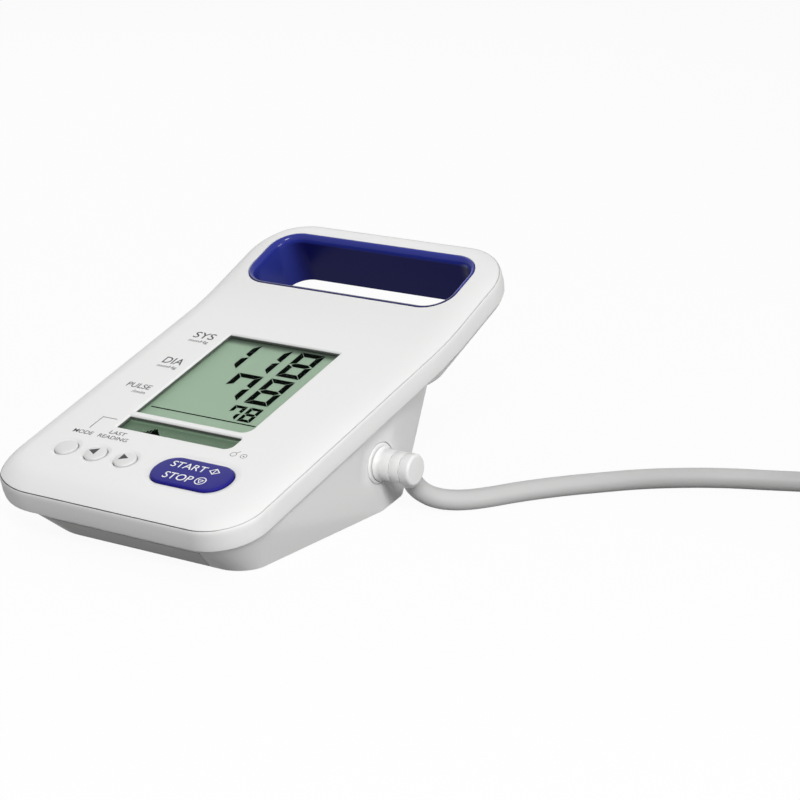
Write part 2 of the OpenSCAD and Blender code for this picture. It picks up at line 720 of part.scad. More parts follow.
module socket_nut() color("silver")
    along_x(port_wall_x - 7) difference() {
        cylinder(r = 8.6, h = 2.4, $fn = 6);
        translate([0, 0, -1]) cylinder(r = 6 + seat, h = 5, $fn = 64);
    }

// Ribbed grip, turned about the socket's axis, with the hose's outlet at right angles
module air_plug() color("whitesmoke") {
    r = grip_plug_r;
    x0 = port_face_x + gap;
    third = (plug_x1 - x0 - 2.6) / 3;
    along_x(0) rotate_extrude($fn = 96) polygon(concat(
        [[0, port_wall_x - 8], [bore_r - gap - 0.3, port_wall_x - 8], [bore_r - gap, port_wall_x - 7.4],
         [bore_r - gap, x0], [port_r - 1.2, x0], [port_r - 1.3, x0 + 1], [r - 0.5, x0 + 2.6]],
        [for (i = [0:2], p = [[-0.35, 0], [0, 0.5], [0, third - 0.8], [-0.35, third - 0.2]])
            [r + p.x, x0 + 2.6 + i * third + p.y]],
        [[r - 0.9, plug_x1], [0, plug_x1]]));
    translate([outlet_x, port_y, port_z]) rotate([-90 - outlet_a, 0, 0])
        cylinder(r = hose_r + 0.2, h = outlet_l, $fn = 48);
}

// ---------------------------------------------------------------- hose

function unit(v) = v / norm(v);
function tangent(p, i) = unit(p[min(i + 1, len(p) - 1)] - p[max(i - 1, 0)]);
function ring(c, t, r, n) =
    let (side = unit(cross(t, [0, 0, 1])), up = cross(side, t))
    [for (k = [0:n - 1]) c + r * (cos(360 * k / n) * side + sin(360 * k / n) * up)];

module sweep(p, r, n) {
    last = (len(p) - 1) * n;
    polyhedron(
        points = [for (i = [0:len(p) - 1]) each ring(p[i], tangent(p, i), r, n)],
        faces = concat(
            [[for (k = [0:n - 1]) k]],
            [for (i = [0:len(p) - 2], k = [0:n - 1])
                [i * n + k, (i + 1) * n + k, (i + 1) * n + (k + 1) % n, i * n + (k + 1) % n]],
            [[for (k = [n - 1:-1:0]) last + k]]));
}

module hose() color("lightgray") sweep(hose_route, hose_r, 10);

// The coil's outer shape: the wound turns, and the end of the hose lying on them
module coil_shape(out, under_z) translate([coil_c.x, coil_c.y, 0]) {
    rotate_extrude($fn = 96)
        translate([coil_r[0] - hose_r - out, under_z])
            square([coil_r[1] - coil_r[0] + hose_d + 2 * out, 2 * hose_d + out - under_z]);
}

module tie_slab()
    translate([coil_c.x, coil_c.y, 0]) rotate(tie_a)
        translate([coil_r[0] - hose_d, -tie_w / 2, -1]) cube([4 * hose_d, tie_w, 4 * hose_d]);

module hose_tie() color("dimgray") difference() {
    intersection() {
        coil_shape(tie_t, 0);
        tie_slab();
    }
    coil_shape(0, tie_t);
}

module hose_coil() color("lightgray") {
    difference() {
        coil_shape(0, 0);
        intersection() {
            tie_slab();
            translate([0, 0, tie_t - 50]) cube([4 * coil_c.x, 4 * coil_c.x, 100], center = true);
        }
    }
    translate([coil_c.x, coil_c.y, 0]) rotate(tail_a[0])
        rotate_extrude(angle = tail_a[1] - tail_a[0], $fn = 96)
            translate([coil_r[0] - hose_r + 0.4, 2 * hose_d - 0.3]) square([hose_d - 0.8, hose_d + 1.2]);
}

// Connector at the hose's far end: a collar and a plain nozzle for the cuff
module cuff_plug() color("gainsboro")
    translate([coil_c.x + coil_r[0] * cos(tail_a[0]), coil_c.y + coil_r[0] * sin(tail_a[0]), tail_z])
        rotate([0, 0, tail_a[0] - 90]) rotate([0, 90, 0]) {
            cylinder(r = cuff_r, h = 16, $fn = 64);
            translate([0, 0, 16 - eps]) cylinder(r = 3, h = 12, $fn = 64);
        }

front_panel();
rear_case();
handle_liner();
display_lens();
lcd_cell();
lcd_holder();
backlight();
mode_key();
back_key();
forward_key();
start_stop_key();
key_switches();
main_board();
board_screws();
battery_cover();
battery_pack();
battery_lead();
feet();
case_screws();
air_socket();
socket_nut();
inner_tube();
pump_motor();
pump_head();
pump_rings();
release_valve();
pressure_sensor();
beeper();
power_jack();
air_plug();
hose();
hose_coil();
hose_tie();
cuff_plug();
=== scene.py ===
# %% [markdown]
# # Dressing a desktop blood pressure monitor
# The object is a white wedge that stands on a desk: a bent front panel with a display, four keys
# and a carry handle, a case under it, and a grey air hose on a pull-off plug. The solids come
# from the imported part, and this script gives each visible piece its rounded edges, its printing
# and its finish. All lengths below are written in millimetres and become metres when placed.

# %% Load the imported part
from math import atan2, cos, degrees, hypot, pi, radians, sin, sqrt, tan

import bmesh
import bpy
from mathutils import Matrix, Vector


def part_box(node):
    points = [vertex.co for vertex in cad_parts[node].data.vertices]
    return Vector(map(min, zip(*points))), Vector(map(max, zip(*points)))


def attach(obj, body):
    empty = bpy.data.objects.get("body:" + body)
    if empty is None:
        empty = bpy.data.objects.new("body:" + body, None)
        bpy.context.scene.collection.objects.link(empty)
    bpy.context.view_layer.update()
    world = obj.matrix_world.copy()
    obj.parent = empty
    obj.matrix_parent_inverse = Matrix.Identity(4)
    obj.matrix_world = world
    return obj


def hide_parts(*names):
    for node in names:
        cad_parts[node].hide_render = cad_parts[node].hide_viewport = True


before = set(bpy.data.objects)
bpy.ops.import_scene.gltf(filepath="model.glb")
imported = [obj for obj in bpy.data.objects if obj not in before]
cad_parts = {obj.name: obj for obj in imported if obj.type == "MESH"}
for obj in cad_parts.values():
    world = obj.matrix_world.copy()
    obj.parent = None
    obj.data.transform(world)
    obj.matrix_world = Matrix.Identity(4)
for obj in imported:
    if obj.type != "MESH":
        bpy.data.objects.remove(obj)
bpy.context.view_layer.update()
MM = 0.001
scene = bpy.context.scene
scene.view_settings.view_transform = "Standard"

# %% [markdown]
# ## Camera
# The photograph looks down on the monitor from its front right corner, with a long lens. The
# camera's place was worked out once from the straight edges of the panel. It is built here from
# turns about Z, X and the view axis, since that reads like a tripod: pan, tilt, roll.

# %% Camera on its tripod
def new_object(name, data):
    made = bpy.data.objects.new(name, data)
    scene.collection.objects.link(made)
    return made


CAMERA_PLACE = (0.53412, -0.71107, 0.28866)
CAMERA_PAN = radians(33.39)
CAMERA_DIP = radians(15.78)
CAMERA_ROLL = radians(0.23)

camera_data = bpy.data.cameras.new("camera")
camera_data.lens = 106.8
camera_data.sensor_width = 36
camera_data.clip_start = 0.05
camera = new_object("camera", camera_data)
camera.matrix_world = (Matrix.Translation(CAMERA_PLACE) @ Matrix.Rotation(CAMERA_PAN, 4, "Z")
                       @ Matrix.Rotation(pi / 2 - CAMERA_DIP, 4, "X")
                       @ Matrix.Rotation(CAMERA_ROLL, 4, "Z"))
scene.camera = camera
print("camera at", CAMERA_PLACE)

# %% [markdown]
# ## A small language for finishes
# A finish is a graph of nodes. Written node by node it is long and hard to read, so one class
# wraps a node's output and lends it Python's arithmetic: `noise * 0.2 + 0.4` adds the two Math
# nodes. Everything that isn't arithmetic comes from one method, `node`, which sets the node's
# settings first and then feeds its inputs with numbers or with other wires.

# %% Wires with arithmetic
class Wire:
    """An output of a node. Arithmetic on it adds Math nodes to the same tree."""

    def __init__(self, tree, output=None):
        self.tree = tree
        self.output = output

    def node(self, kind, settings=None, inputs=None, out=0):
        made = self.tree.nodes.new(kind)
        for name, value in (settings or {}).items():
            setattr(made, name, value)
        for key, value in (inputs or {}).items():
            if isinstance(value, Wire):
                self.tree.links.new(value.output, made.inputs[key])
            else:
                made.inputs[key].default_value = value
        return Wire(self.tree, made.outputs[out])

    def math(self, operation, *values):
        return self.node("ShaderNodeMath", {"operation": operation}, dict(enumerate(values)))

    def __add__(self, other):
        return self.math("ADD", self, other)

    def __sub__(self, other):
        return self.math("SUBTRACT", self, other)

    def __rsub__(self, other):
        return self.math("SUBTRACT", other, self)

    def __mul__(self, other):
        return self.math("MULTIPLY", self, other)

    __radd__ = __add__
    __rmul__ = __mul__

    def steps(self, low, high):
        """0 below low, 1 above high, and a soft rise between them."""
        return self.node("ShaderNodeMapRange", {"interpolation_type": "SMOOTHSTEP"},
                         {"Value": self, "From Min": low, "From Max": high})

    def between(self, low, high):
        """The colour that lies this far from low to high."""
        return self.node("ShaderNodeMix", {"data_type": "RGBA"}, {0: self, 6: low, 7: high}, out=2)


# %% [markdown]
# ## Starting a finish
# Every finish is one Principled surface. What is the same all over, such as the sheen of a
# lacquer, is set on its socket. What changes over the surface is fed by wires: colour,
# roughness and the small relief that moulding leaves.

# %% Helpers that start a finish
def rgb(red, green, blue):
    return (red, green, blue, 1.0)


def start_finish(name, **sockets):
    """A material with a Principled surface. Returns it, its surface and a loose wire."""
    made = bpy.data.materials.new(name)
    made.use_nodes = True
    surface = made.node_tree.nodes["Principled BSDF"]
    for socket, value in sockets.items():
        surface.inputs[socket.replace("_", " ")].default_value = value
    return made, surface, Wire(made.node_tree)


def feed(surface, **wires):
    for socket, wire in wires.items():
        wire.tree.links.new(wire.output, surface.inputs[socket.replace("_", " ")])


def place_of(wire):
    return wire.node("ShaderNodeTexCoord", out="Object")


def coordinate(wire, axis):
    """The X, Y or Z of each point, in metres, for axis 0, 1 or 2."""
    return wire.node("ShaderNodeSeparateXYZ", None, {"Vector": place_of(wire)}, out=axis)


def noise(wire, size, detail):
    """Smooth noise from 0 to 1 whose patches are about this many millimetres wide."""
    return wire.node("ShaderNodeTexNoise", None,
                     {"Vector": place_of(wire), "Scale": 1 / (size * MM), "Detail": detail})


def relief(wire, height, depth):
    """Turns a height from 0 to 1 into a surface normal; depth is in millimetres."""
    return wire.node("ShaderNodeBump", None, {"Height": height, "Distance": depth * MM})


def show(shader, output="Material Output"):
    """Puts a mix of shaders in the place of the Principled surface."""
    tree = shader.tree
    tree.links.new(shader.output, tree.nodes[output].inputs["Surface"])


# %% [markdown]
# ## Moulded plastic
# The mould of a white housing is spark eroded, which leaves a fine even grain, and handling
# polishes it in broad patches. A finish for it needs three scales: a grain of a few tenths of a
# millimetre in the relief, patches of a few centimetres in the roughness, and a very faint
# drift of colour, without which large white faces look computed.

# %% Finish of moulded plastic
PATCH_SIZE, SPECK_SIZE = 34, 3.2
SPECK_FROM, SPECK_FULL = 0.72, 0.8
SPECK_SHARE, SPECK_SHADE = 0.12, 0.8
PATCH_ROUGH, GRAIN_ROUGH = 0.1, 0.05


def moulded(name, colour, rough=0.42, grain=0.006, grain_size=0.45, drift=0.03, **sockets):
    """Plastic of a colour that darkens by the share drift; grain is its relief's depth."""
    made, surface, wire = start_finish(name, **sockets)
    patches = noise(wire, PATCH_SIZE, 3)
    fine = noise(wire, grain_size, 2)
    specks = noise(wire, SPECK_SIZE, 4).steps(SPECK_FROM, SPECK_FULL)
    tint = patches.between(rgb(*(c * (1 - drift) for c in colour)), rgb(*colour))
    tint = (specks * SPECK_SHARE).between(tint, rgb(*(c * SPECK_SHADE for c in colour)))
    least = rough - (PATCH_ROUGH + GRAIN_ROUGH) / 2
    feed(surface, Base_Color=tint, Roughness=patches * PATCH_ROUGH + fine * GRAIN_ROUGH + least,
         Normal=relief(wire, fine, grain))
    return made


# %% [markdown]
# ## The air hose
# The hose is a soft extruded tube of 8 mm. It leaves the plug downwards, curves onto the desk
# and runs off to the right. What the photograph doesn't show is wound into a coil beyond the
# view. A curve with a round bevel is the natural form: its points are the route, and Blender
# sweeps the section. The free stretch is a given list of points and the coil's turns are a loop.

# %% Route of the hose
HOSE_D = 8.0
PORT_Y = 1.4
PORT_Z = 21.3
OUTLET_X = 66.6
OUTLET_DOWN = radians(49)
OUTLET_L = 8.0
COIL_X, COIL_Y = 252.0, 99.0
COIL_IN, COIL_OUT = 42.0, 50.0
COIL_TURNS, COIL_END = 4, 225
COIL_STEPS = 100
TAIL_LIFT = 1.2


def at_outlet(length):
    """The point this far along the hose's outlet from the socket's axis."""
    return (OUTLET_X, PORT_Y + length * cos(OUTLET_DOWN),
            PORT_Z - length * sin(OUTLET_DOWN))


free_run = [at_outlet(OUTLET_L), at_outlet(OUTLET_L + 4.5), (68.4, 13.4, 8.3), (71.3, 17.7, 5.8),
            (75, 22, 4.6), (79, 27, 4.1), (83, 33, 4), (90, 46, 4), (99, 60, 4), (110, 74, 4),
            (122, 87.5, 4), (135, 98.5, 4), (149, 107.5, 4), (165, 115, 4), (182, 123, 4),
            (200, 131, 4), (217, 138.5, 4), (232.2, 144.9, 4)]


def ease(s, start, length=60):
    """Rises from 0 to 1 while s goes from start to start + length."""
    t = min(max((s - start) / length, 0), 1)
    return t * t * (3 - 2 * t)


def coil_point(s):
    """A point of the coil, s degrees round it: the hose changes rows over 60 degrees."""
    step = COIL_OUT - COIL_IN
    radius = COIL_OUT - step * ease(s, 300) + step * ease(s, 900)
    height = HOSE_D / 2 + HOSE_D * ease(s, 600)
    over = radians(90 * ease(s, 1200))
    radius -= step * (1 - cos(over))
    height += step * sin(over) + TAIL_LIFT * ease(s, 1255, 65)
    angle = radians(COIL_START - s)
    return (COIL_X + radius * cos(angle), COIL_Y + radius * sin(angle), height)


COIL_START = degrees(atan2(free_run[-1][1] - COIL_Y, free_run[-1][0] - COIL_X))
coil_turn = COIL_START + COIL_TURNS * 360 - COIL_END
coil_run = [coil_point(coil_turn * i / COIL_STEPS) for i in range(1, COIL_STEPS + 1)]
route = [Vector(p) * MM for p in free_run + coil_run]
print("hose route:", len(route), "points")

# %% [markdown]
# A Bezier spline with automatic handles passes through every point and stays smooth.

# %% Hose as a curve
hose_finish = moulded("hose_grey_tube", (0.58, 0.58, 0.575), rough=0.5, grain=0.004, drift=0.05,
                      Specular_IOR_Level=0.25)
curve = bpy.data.curves.new("air_hose_tube", "CURVE")
curve.dimensions = "3D"
curve.bevel_depth = HOSE_D / 2 * MM
curve.bevel_resolution = 7
curve.resolution_u = 8
curve.use_fill_caps = True
spline = curve.splines.new("BEZIER")
spline.bezier_points.add(len(route) - 1)
for knot, point in zip(spline.bezier_points, route):
    knot.co = point
    knot.handle_left_type = knot.handle_right_type = "AUTO"
curve.materials.append(hose_finish)
hose = new_object("air_hose_tube", curve)
bpy.context.view_layer.update()
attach(hose, "air_hose")
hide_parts("hose", "hose_coil")

# %% [markdown]
# ## Turning outlines into pieces
# Nearly every moulded piece here is a rounded outline that is stepped inwards and downwards:
# the panel's rim, the liner's mouth, a key's edge, the cutter of a window. So there are two
# helpers: one draws the outline and rounds its corners with a vertex bevel, the other takes
# its face through a list of steps, insetting it and moving it at the same time.

# %% Outlines and steps
def turn_outwards(bm):
    bmesh.ops.recalc_face_normals(bm, faces=bm.faces[:])


def only(made, kind):
    """The vertices or edges among what an operator returns."""
    return [part for part in made["geom"] if isinstance(part, kind)]


def polygon(bm, points, height):
    return bm.faces.new([bm.verts.new((x, v, height)) for x, v in points])


def outline(bm, x0, v0, x1, v1, radii, segments=16, height=0.0):
    """A face with rounded corners; radii start at the near left corner and go round."""
    before = set(bm.faces)
    corners = polygon(bm, ((x0, v0), (x1, v0), (x1, v1), (x0, v1)), height).verts[:]
    for corner, radius in zip(corners, radii):
        if radius:
            bmesh.ops.bevel(bm, geom=[corner], offset=radius, offset_type="OFFSET",
                            affect="VERTICES", segments=segments, profile=0.5, material=-1,
                            clamp_overlap=False)
    return next(face for face in bm.faces if face not in before)


def disc(bm, x, v, radius, height=0.0, segments=64):
    made = bmesh.ops.create_circle(bm, cap_ends=True, radius=radius, segments=segments,
                                   matrix=Matrix.Translation((x, v, height)))
    return made["verts"][0].link_faces[0]


def inset_face(bm, face, inset):
    bmesh.ops.inset_region(bm, faces=[face], thickness=inset, use_boundary=True,
                           use_even_offset=True)


def make_ring(bm, face, width):
    """Leaves only a border of the face, this wide."""
    inset_face(bm, face, width)
    bmesh.ops.delete(bm, geom=[face], context="FACES_ONLY")


def step_face(bm, face, steps):
    """Takes the face through (inset, rise) steps and returns it; an inset of 0 is a plain wall."""
    for inset, rise in steps:
        if inset:
            inset_face(bm, face, inset)
        else:
            face = bmesh.ops.extrude_discrete_faces(bm, faces=[face])["faces"][0]
        bmesh.ops.translate(bm, verts=face.verts[:], vec=(0, 0, rise))
    return face


def close_holes(bm):
    bmesh.ops.holes_fill(bm, edges=[e for e in bm.edges if e.is_boundary])
    turn_outwards(bm)


# %% [markdown]
# A finished piece is put in place in its mesh, gets smooth faces with sharp edges above an
# angle, and rides on its body.

# %% From bmesh to piece
def as_mesh(name, bm, sharp=30):
    mesh = bpy.data.meshes.new(name)
    bm.to_mesh(mesh)
    bm.free()
    mesh.polygons.foreach_set("use_smooth", [True] * len(mesh.polygons))
    mesh.set_sharp_from_angle(angle=radians(sharp))
    return mesh


def piece(name, bm, finish, body="monitor", replaces=(), sharp=30):
    made = new_object(name, as_mesh(name, bm, sharp))
    made.data.materials.append(finish)
    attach(made, body)
    if replaces:
        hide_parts(*replaces)
    return made


def even_light(made):
    """Lets large faces rule the shading, so that narrow fillets don't bend it."""
    weighted = made.modifiers.new("even_light", "WEIGHTED_NORMAL")
    weighted.keep_sharp = True
    return made


# %% [markdown]
# ## The bent front panel
# The panel is one tray of white plastic: a gentle crown towards its edge, a fine line where the
# face meets the rim, and a shallow bend where the display's slope turns into the handle. It is
# modelled flat, as a sheet worker would lay it out: X across, the distance up the slope as Y,
# and the height over the face as Z. Only at the end is it bent and stood up.

# %% Sizes of the panel
PANEL_W = 123.0
PANEL_TILT = radians(16.4)
HANDLE_TILT = radians(24.7)
BEND_V = 144.5
BEND_L = 24.0
END_V = 204.5
FRONT_H = 22.5
RIM_H = 11.2
RIM_WALL = 2.6
FRONT_R, BACK_R = 20.0, 24.0
CROWN, CROWN_W, CROWN_POWER = 2.8, 14.0, 2.59
SKIN, PANE_SKIN = 3.0, 1.6
FOREMOST_V, FOREMOST_N = 0.15, -3.8
PANEL_RADII = (FRONT_R, FRONT_R, BACK_R, BACK_R)
half_w = PANEL_W / 2
front_y = (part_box("front_panel")[0].y / MM - FOREMOST_V * cos(PANEL_TILT)
           + FOREMOST_N * sin(PANEL_TILT))

bend_from = BEND_V - BEND_L / 2
bend_turn = HANDLE_TILT - PANEL_TILT
bend_r = BEND_L / 2 / tan(bend_turn / 2)
on_panel = Matrix.Translation((0, front_y, FRONT_H)) @ Matrix.Rotation(PANEL_TILT, 4, "X")
bend_point = on_panel @ Vector((0, BEND_V, 0))
on_handle = (Matrix.Translation(bend_point) @ Matrix.Rotation(HANDLE_TILT, 4, "X")
             @ Matrix.Translation((0, -BEND_V, 0)))
bend_axis = on_panel @ Vector((0, bend_from, bend_r))


def bent(place):
    """Where a point of the flat layout lies on the real, bent monitor, in millimetres."""
    x, v, n = place
    if v <= bend_from:
        return on_panel @ Vector((x, v, n))
    if v >= bend_from + BEND_L:
        return on_handle @ Vector((x, v, n))
    tilt = PANEL_TILT + bend_turn * (v - bend_from) / BEND_L
    arm = Vector((0, sin(tilt), -cos(tilt)))
    return Vector((x, bend_axis.y, bend_axis.z)) + (bend_r - n) * arm


print("front edge at y =", round(front_y, 2), "mm, bend radius", round(bend_r, 1), "mm")

# %% [markdown]
# The photograph shows the left border a little narrower than the solid's, and the front left
# corner wider. So every shell piece goes through one warp. It pushes the corner's points out
# from the wide corner's centre onto its arc, and draws what lies left of a line inwards. A long
# edge would cut across the new curve, so the mesh is sliced there first.

# %% Warp of the left border
LEFT_FROM, LEFT_IN_BACK, LEFT_IN_FRONT = 51.5, 1.6, 3.4
LEFT_BACK_V, LEFT_FRONT_V = 130.0, 30.0
CORNER_R, CORNER_CALM = 28.0, 14.0
CORNER_SLICES = (20.0, 22.5, 25.0, 28.0)


def slice_at(bm, place, normal, dist, geom=None):
    """Gives the bmesh, or some of its geometry, new edges where a plane crosses it."""
    bmesh.ops.bisect_plane(bm, geom=geom or bm.verts[:] + bm.edges[:] + bm.faces[:], dist=dist,
                           plane_co=place, plane_no=normal)


def corner_reach(across, along):
    """How far the solid's corner lies from the wide corner's centre, in a direction."""
    step = FRONT_R - CORNER_R
    if along * CORNER_R <= -step * across:
        return CORNER_R / across
    if across * CORNER_R <= -step * along:
        return CORNER_R / along
    middle = -step * (across + along)
    return middle + sqrt(middle ** 2 - 2 * step ** 2 + FRONT_R ** 2)


def draw_in(bm):
    """Widens the front left corner and draws the left border in."""
    xs = [-LEFT_FROM] + [step - half_w for step in CORNER_SLICES]
    planes = [((x, 0, 0), (1, 0, 0)) for x in xs]
    planes += [((0, v, 0), (0, 1, 0)) for v in (*CORNER_SLICES, LEFT_BACK_V)]
    for place, normal in planes:
        slice_at(bm, on_panel @ Vector(place) * MM, on_panel.to_3x3() @ Vector(normal), 1e-5)
    to_layout = on_panel.inverted()
    for vert in bm.verts:
        x, v, n = to_layout @ (vert.co / MM)
        across, along = CORNER_R - half_w - x, CORNER_R - v
        r = hypot(across, along)
        if across > 0 and along > 0 and r > CORNER_CALM:
            reach = corner_reach(across / r, along / r)
            scale = 1 + (CORNER_R - reach) * (r - CORNER_CALM) / (reach - CORNER_CALM) / r
            x, v = CORNER_R - half_w - across * scale, CORNER_R - along * scale
        if -x > LEFT_FROM:
            forward = min(max((LEFT_BACK_V - v) / (LEFT_BACK_V - LEFT_FRONT_V), 0), 1)
            amount = LEFT_IN_BACK + (LEFT_IN_FRONT - LEFT_IN_BACK) * forward
            x += amount * (-x - LEFT_FROM) / (half_w - LEFT_FROM)
        vert.co = on_panel @ Vector((x, v, n)) * MM


# %% [markdown]
# The outline starts at the rim's widest line. Steps inwards make the rim's rounded shoulder,
# the fine groove, and then the crown, whose height follows one power curve. The open edge is
# then drawn down for the rim's side and turned in under it.

# %% Solid panel, still flat
RIM_WIDEST, RIM_TURNS_IN, UNDER_IN = -5.4, -8.8, 0.25
GROOVE_H, GROOVE_END = 0.9, 0.92


def crown_height(inside):
    return -CROWN * ((CROWN_W - inside) / (CROWN_W - 0.5)) ** CROWN_POWER


bm = bmesh.new()
face = outline(bm, -half_w, 0, half_w, END_V, PANEL_RADII, 24, RIM_WIDEST)
rim_edges = face.edges[:]
shoulder = [(0.03, 0.6), (0.12, 1.0), (0.10, 0.55), (0.13, 0.3), (0.12, 0.15)]
groove = [(0.03, -GROOVE_H), (0.36, 0.0), (0.03, GROOVE_H + CROWN + crown_height(GROOVE_END))]
inside = sum(inset for inset, rise in shoulder + groove)
height = RIM_WIDEST + sum(rise for inset, rise in shoulder + groove)
crown = []
for target in (1.15, 1.5, 2.0, 2.8, 3.8, 5.0, 6.4, 8.0, 9.8, 11.8, 14.0):
    crown.append((target - inside, crown_height(target) - height))
    inside, height = target, crown_height(target)
step_face(bm, face, shoulder + groove + crown)

centre = Matrix.Translation((0, -END_V / 2, 0))
for height, shrinks in ((RIM_TURNS_IN, False), (-RIM_H + UNDER_IN, True), (-RIM_H, True)):
    made = bmesh.ops.extrude_edge_only(bm, edges=rim_edges)
    verts = only(made, bmesh.types.BMVert)
    rim_edges = only(made, bmesh.types.BMEdge)
    for vert in verts:
        vert.co.z = height
    if shrinks:
        bmesh.ops.scale(bm, verts=verts, space=centre,
                        vec=(1 - UNDER_IN / half_w, 1 - 2 * UNDER_IN / END_V, 1))
under = bmesh.ops.holes_fill(bm, edges=rim_edges)["faces"][0]
turn_outwards(bm)
inset_face(bm, under, RIM_WALL - 2 * UNDER_IN)
inner = bmesh.ops.extrude_discrete_faces(bm, faces=[under])["faces"][0]
for vert in inner.verts:
    vert.co.z = -SKIN
turn_outwards(bm)
flat_panel = new_object("flat_panel", as_mesh("flat_panel", bm))
print("flat panel:", len(flat_panel.data.polygons), "faces")

# %% [markdown]
# ## Openings
# Windows, key holes and the carry opening are cut with an exact Boolean. Each cutter is an
# outline that starts wide above the face and narrows as it goes down, so the cut brings its own
# rounded edge. The keys lie in shallow dishes, so their cutters flare more, and most round the
# long start key. A pocket for the clear sheet is cut from below in a second pass, because it
# meets the window cutters.

# %% Sizes of the openings
WINDOW_W, WINDOW_V, WINDOW_L, WINDOW_R = 53.6, 59.0, 62.5, 4.0
STRIP_V, STRIP_L, STRIP_RADII = 47.1, 8.8, (0, 3.2, 1.6, 0)
WINDOWS = ((WINDOW_V, WINDOW_V + WINDOW_L, (0, WINDOW_R, 0, 0)),
           (STRIP_V, STRIP_V + STRIP_L, STRIP_RADII))
PANE_EDGE = 3.0
KEY_R, KEY_V, KEY_X, KEY_PITCH = 4.45, 28.6, -36.0, 14.1
START_X, START_V, START_L, START_W = 23.7, 28.2, 34.0, 16.6
START_END_R = START_W / 2 - 0.4
GRIP_W, GRIP_V, GRIP_L, GRIP_R = 100.0, 159.6, 35.6, 12.0
GAP, SEAT = 0.3, 0.1
pane_v0 = STRIP_V - PANE_EDGE
pane_v1 = WINDOW_V + WINDOW_L + PANE_EDGE
pane_x = WINDOW_W / 2 + PANE_EDGE
key_places = [(KEY_X + i * KEY_PITCH, KEY_V) for i in range(3)]

# %% Cutters
OVER = 0.6
THROUGH_SKIN, THROUGH_HANDLE = (0, -4), (0, -16)
window_edge = [(0.04, -OVER - 0.015), (0.12, -0.05), (0.3, -0.2), (0.1, -0.14), (0.04, -0.2),
               THROUGH_SKIN]
key_dish = [(0.02, -OVER - 0.012), (0.35, -0.05), (0.4, -0.13), (0.35, -0.15), (0.2, -0.09),
            (0.12, -0.09), (0.06, -0.2), THROUGH_SKIN]
start_dish = [(0.02, -OVER - 0.012), (0.6, -0.05), (0.7, -0.12), (0.6, -0.14), (0.4, -0.11),
              (0.2, -0.09), (0.08, -0.2), THROUGH_SKIN]
grip_edge = [(0.1, -OVER - 0.05), (0.15, -0.25), (0.1, -0.5), THROUGH_HANDLE]


def grown(steps):
    return sum(inset for inset, rise in steps)


def cutter_outline(bm, x0, v0, x1, v1, radii, steps, segments=16):
    g = grown(steps)
    radii = [r + g if r else 0 for r in radii]
    face = outline(bm, x0 - g, v0 - g, x1 + g, v1 + g, radii, segments, OVER)
    step_face(bm, face, steps)


def start_outline(bm, inset, height):
    dx, dv = START_L / 2 - inset, START_W / 2 - inset
    return outline(bm, START_X - dx, START_V - dv, START_X + dx, START_V + dv,
                   [START_END_R - inset] * 4, 20, height)


bm = bmesh.new()
for v0, v1, radii in WINDOWS:
    cutter_outline(bm, -WINDOW_W / 2, v0, WINDOW_W / 2, v1, radii, window_edge)
for x, v in key_places:
    step_face(bm, disc(bm, x, v, KEY_R + GAP + grown(key_dish), OVER), key_dish)
step_face(bm, start_outline(bm, -GAP - grown(start_dish), OVER), start_dish)
cutter_outline(bm, -GRIP_W / 2 - SEAT, GRIP_V - SEAT, GRIP_W / 2 + SEAT, GRIP_V + GRIP_L + SEAT,
               [GRIP_R + SEAT] * 4, grip_edge, 24)
close_holes(bm)
openings = new_object("openings", as_mesh("openings", bm))

bm = bmesh.new()
face = outline(bm, -pane_x - GAP, pane_v0 - GAP, pane_x + GAP, pane_v1 + GAP, [2] * 4, 8, -PANE_SKIN)
step_face(bm, face, [(0, -SKIN)])
close_holes(bm)
pocket = new_object("pocket", as_mesh("pocket", bm))


def evaluated_mesh(made):
    """The mesh that an object's modifiers or its text make."""
    bpy.context.view_layer.update()
    depsgraph = bpy.context.evaluated_depsgraph_get()
    return bpy.data.meshes.new_from_object(made.evaluated_get(depsgraph))


def cut(made, cutter):
    """Takes the cutter away from a piece, and removes the cutter."""
    modifier = made.modifiers.new("cut", "BOOLEAN")
    modifier.operation = "DIFFERENCE"
    modifier.solver = "EXACT"
    modifier.object = cutter
    mesh = evaluated_mesh(made)
    made.modifiers.clear()
    made.data = mesh
    bpy.data.objects.remove(cutter)


for cutter in (openings, pocket):
    cut(flat_panel, cutter)
print("after the openings:", len(flat_panel.data.polygons), "faces")

# %% [markdown]
# Now the flat layout is sliced across where the bend will be, so that there are edges to bend
# along, and every point moves to its real place.

# %% Bend the panel
BEND_SLICES = 12
SAME_POINT, SLIVER = 0.002, 0.001


def bend_up(bm):
    """Slices a flat layout across the bend and moves every point to its real place, in metres."""
    for i in range(BEND_SLICES + 1):
        slice_at(bm, (0, bend_from + BEND_L * i / BEND_SLICES, 0), (0, 1, 0), 1e-4)
    for vert in bm.verts:
        vert.co = bent(vert.co) * MM
    draw_in(bm)
    turn_outwards(bm)


bm = bmesh.new()
bm.from_mesh(flat_panel.data)
bpy.data.objects.remove(flat_panel)
bmesh.ops.remove_doubles(bm, verts=bm.verts[:], dist=SAME_POINT)
bmesh.ops.dissolve_degenerate(bm, edges=bm.edges[:], dist=SLIVER)
bend_up(bm)
open_edges = sum(1 for e in bm.edges if not e.is_manifold)
shell_finish = moulded("shell_white", (0.855, 0.855, 0.85), rough=0.40, grain=0.005,
                       Specular_IOR_Level=0.3)
panel = even_light(piece("front_panel_skin", bm, shell_finish, replaces=["front_panel"],
                         sharp=28))
print("bent panel:", len(panel.data.polygons), "faces,", open_edges, "open edges")
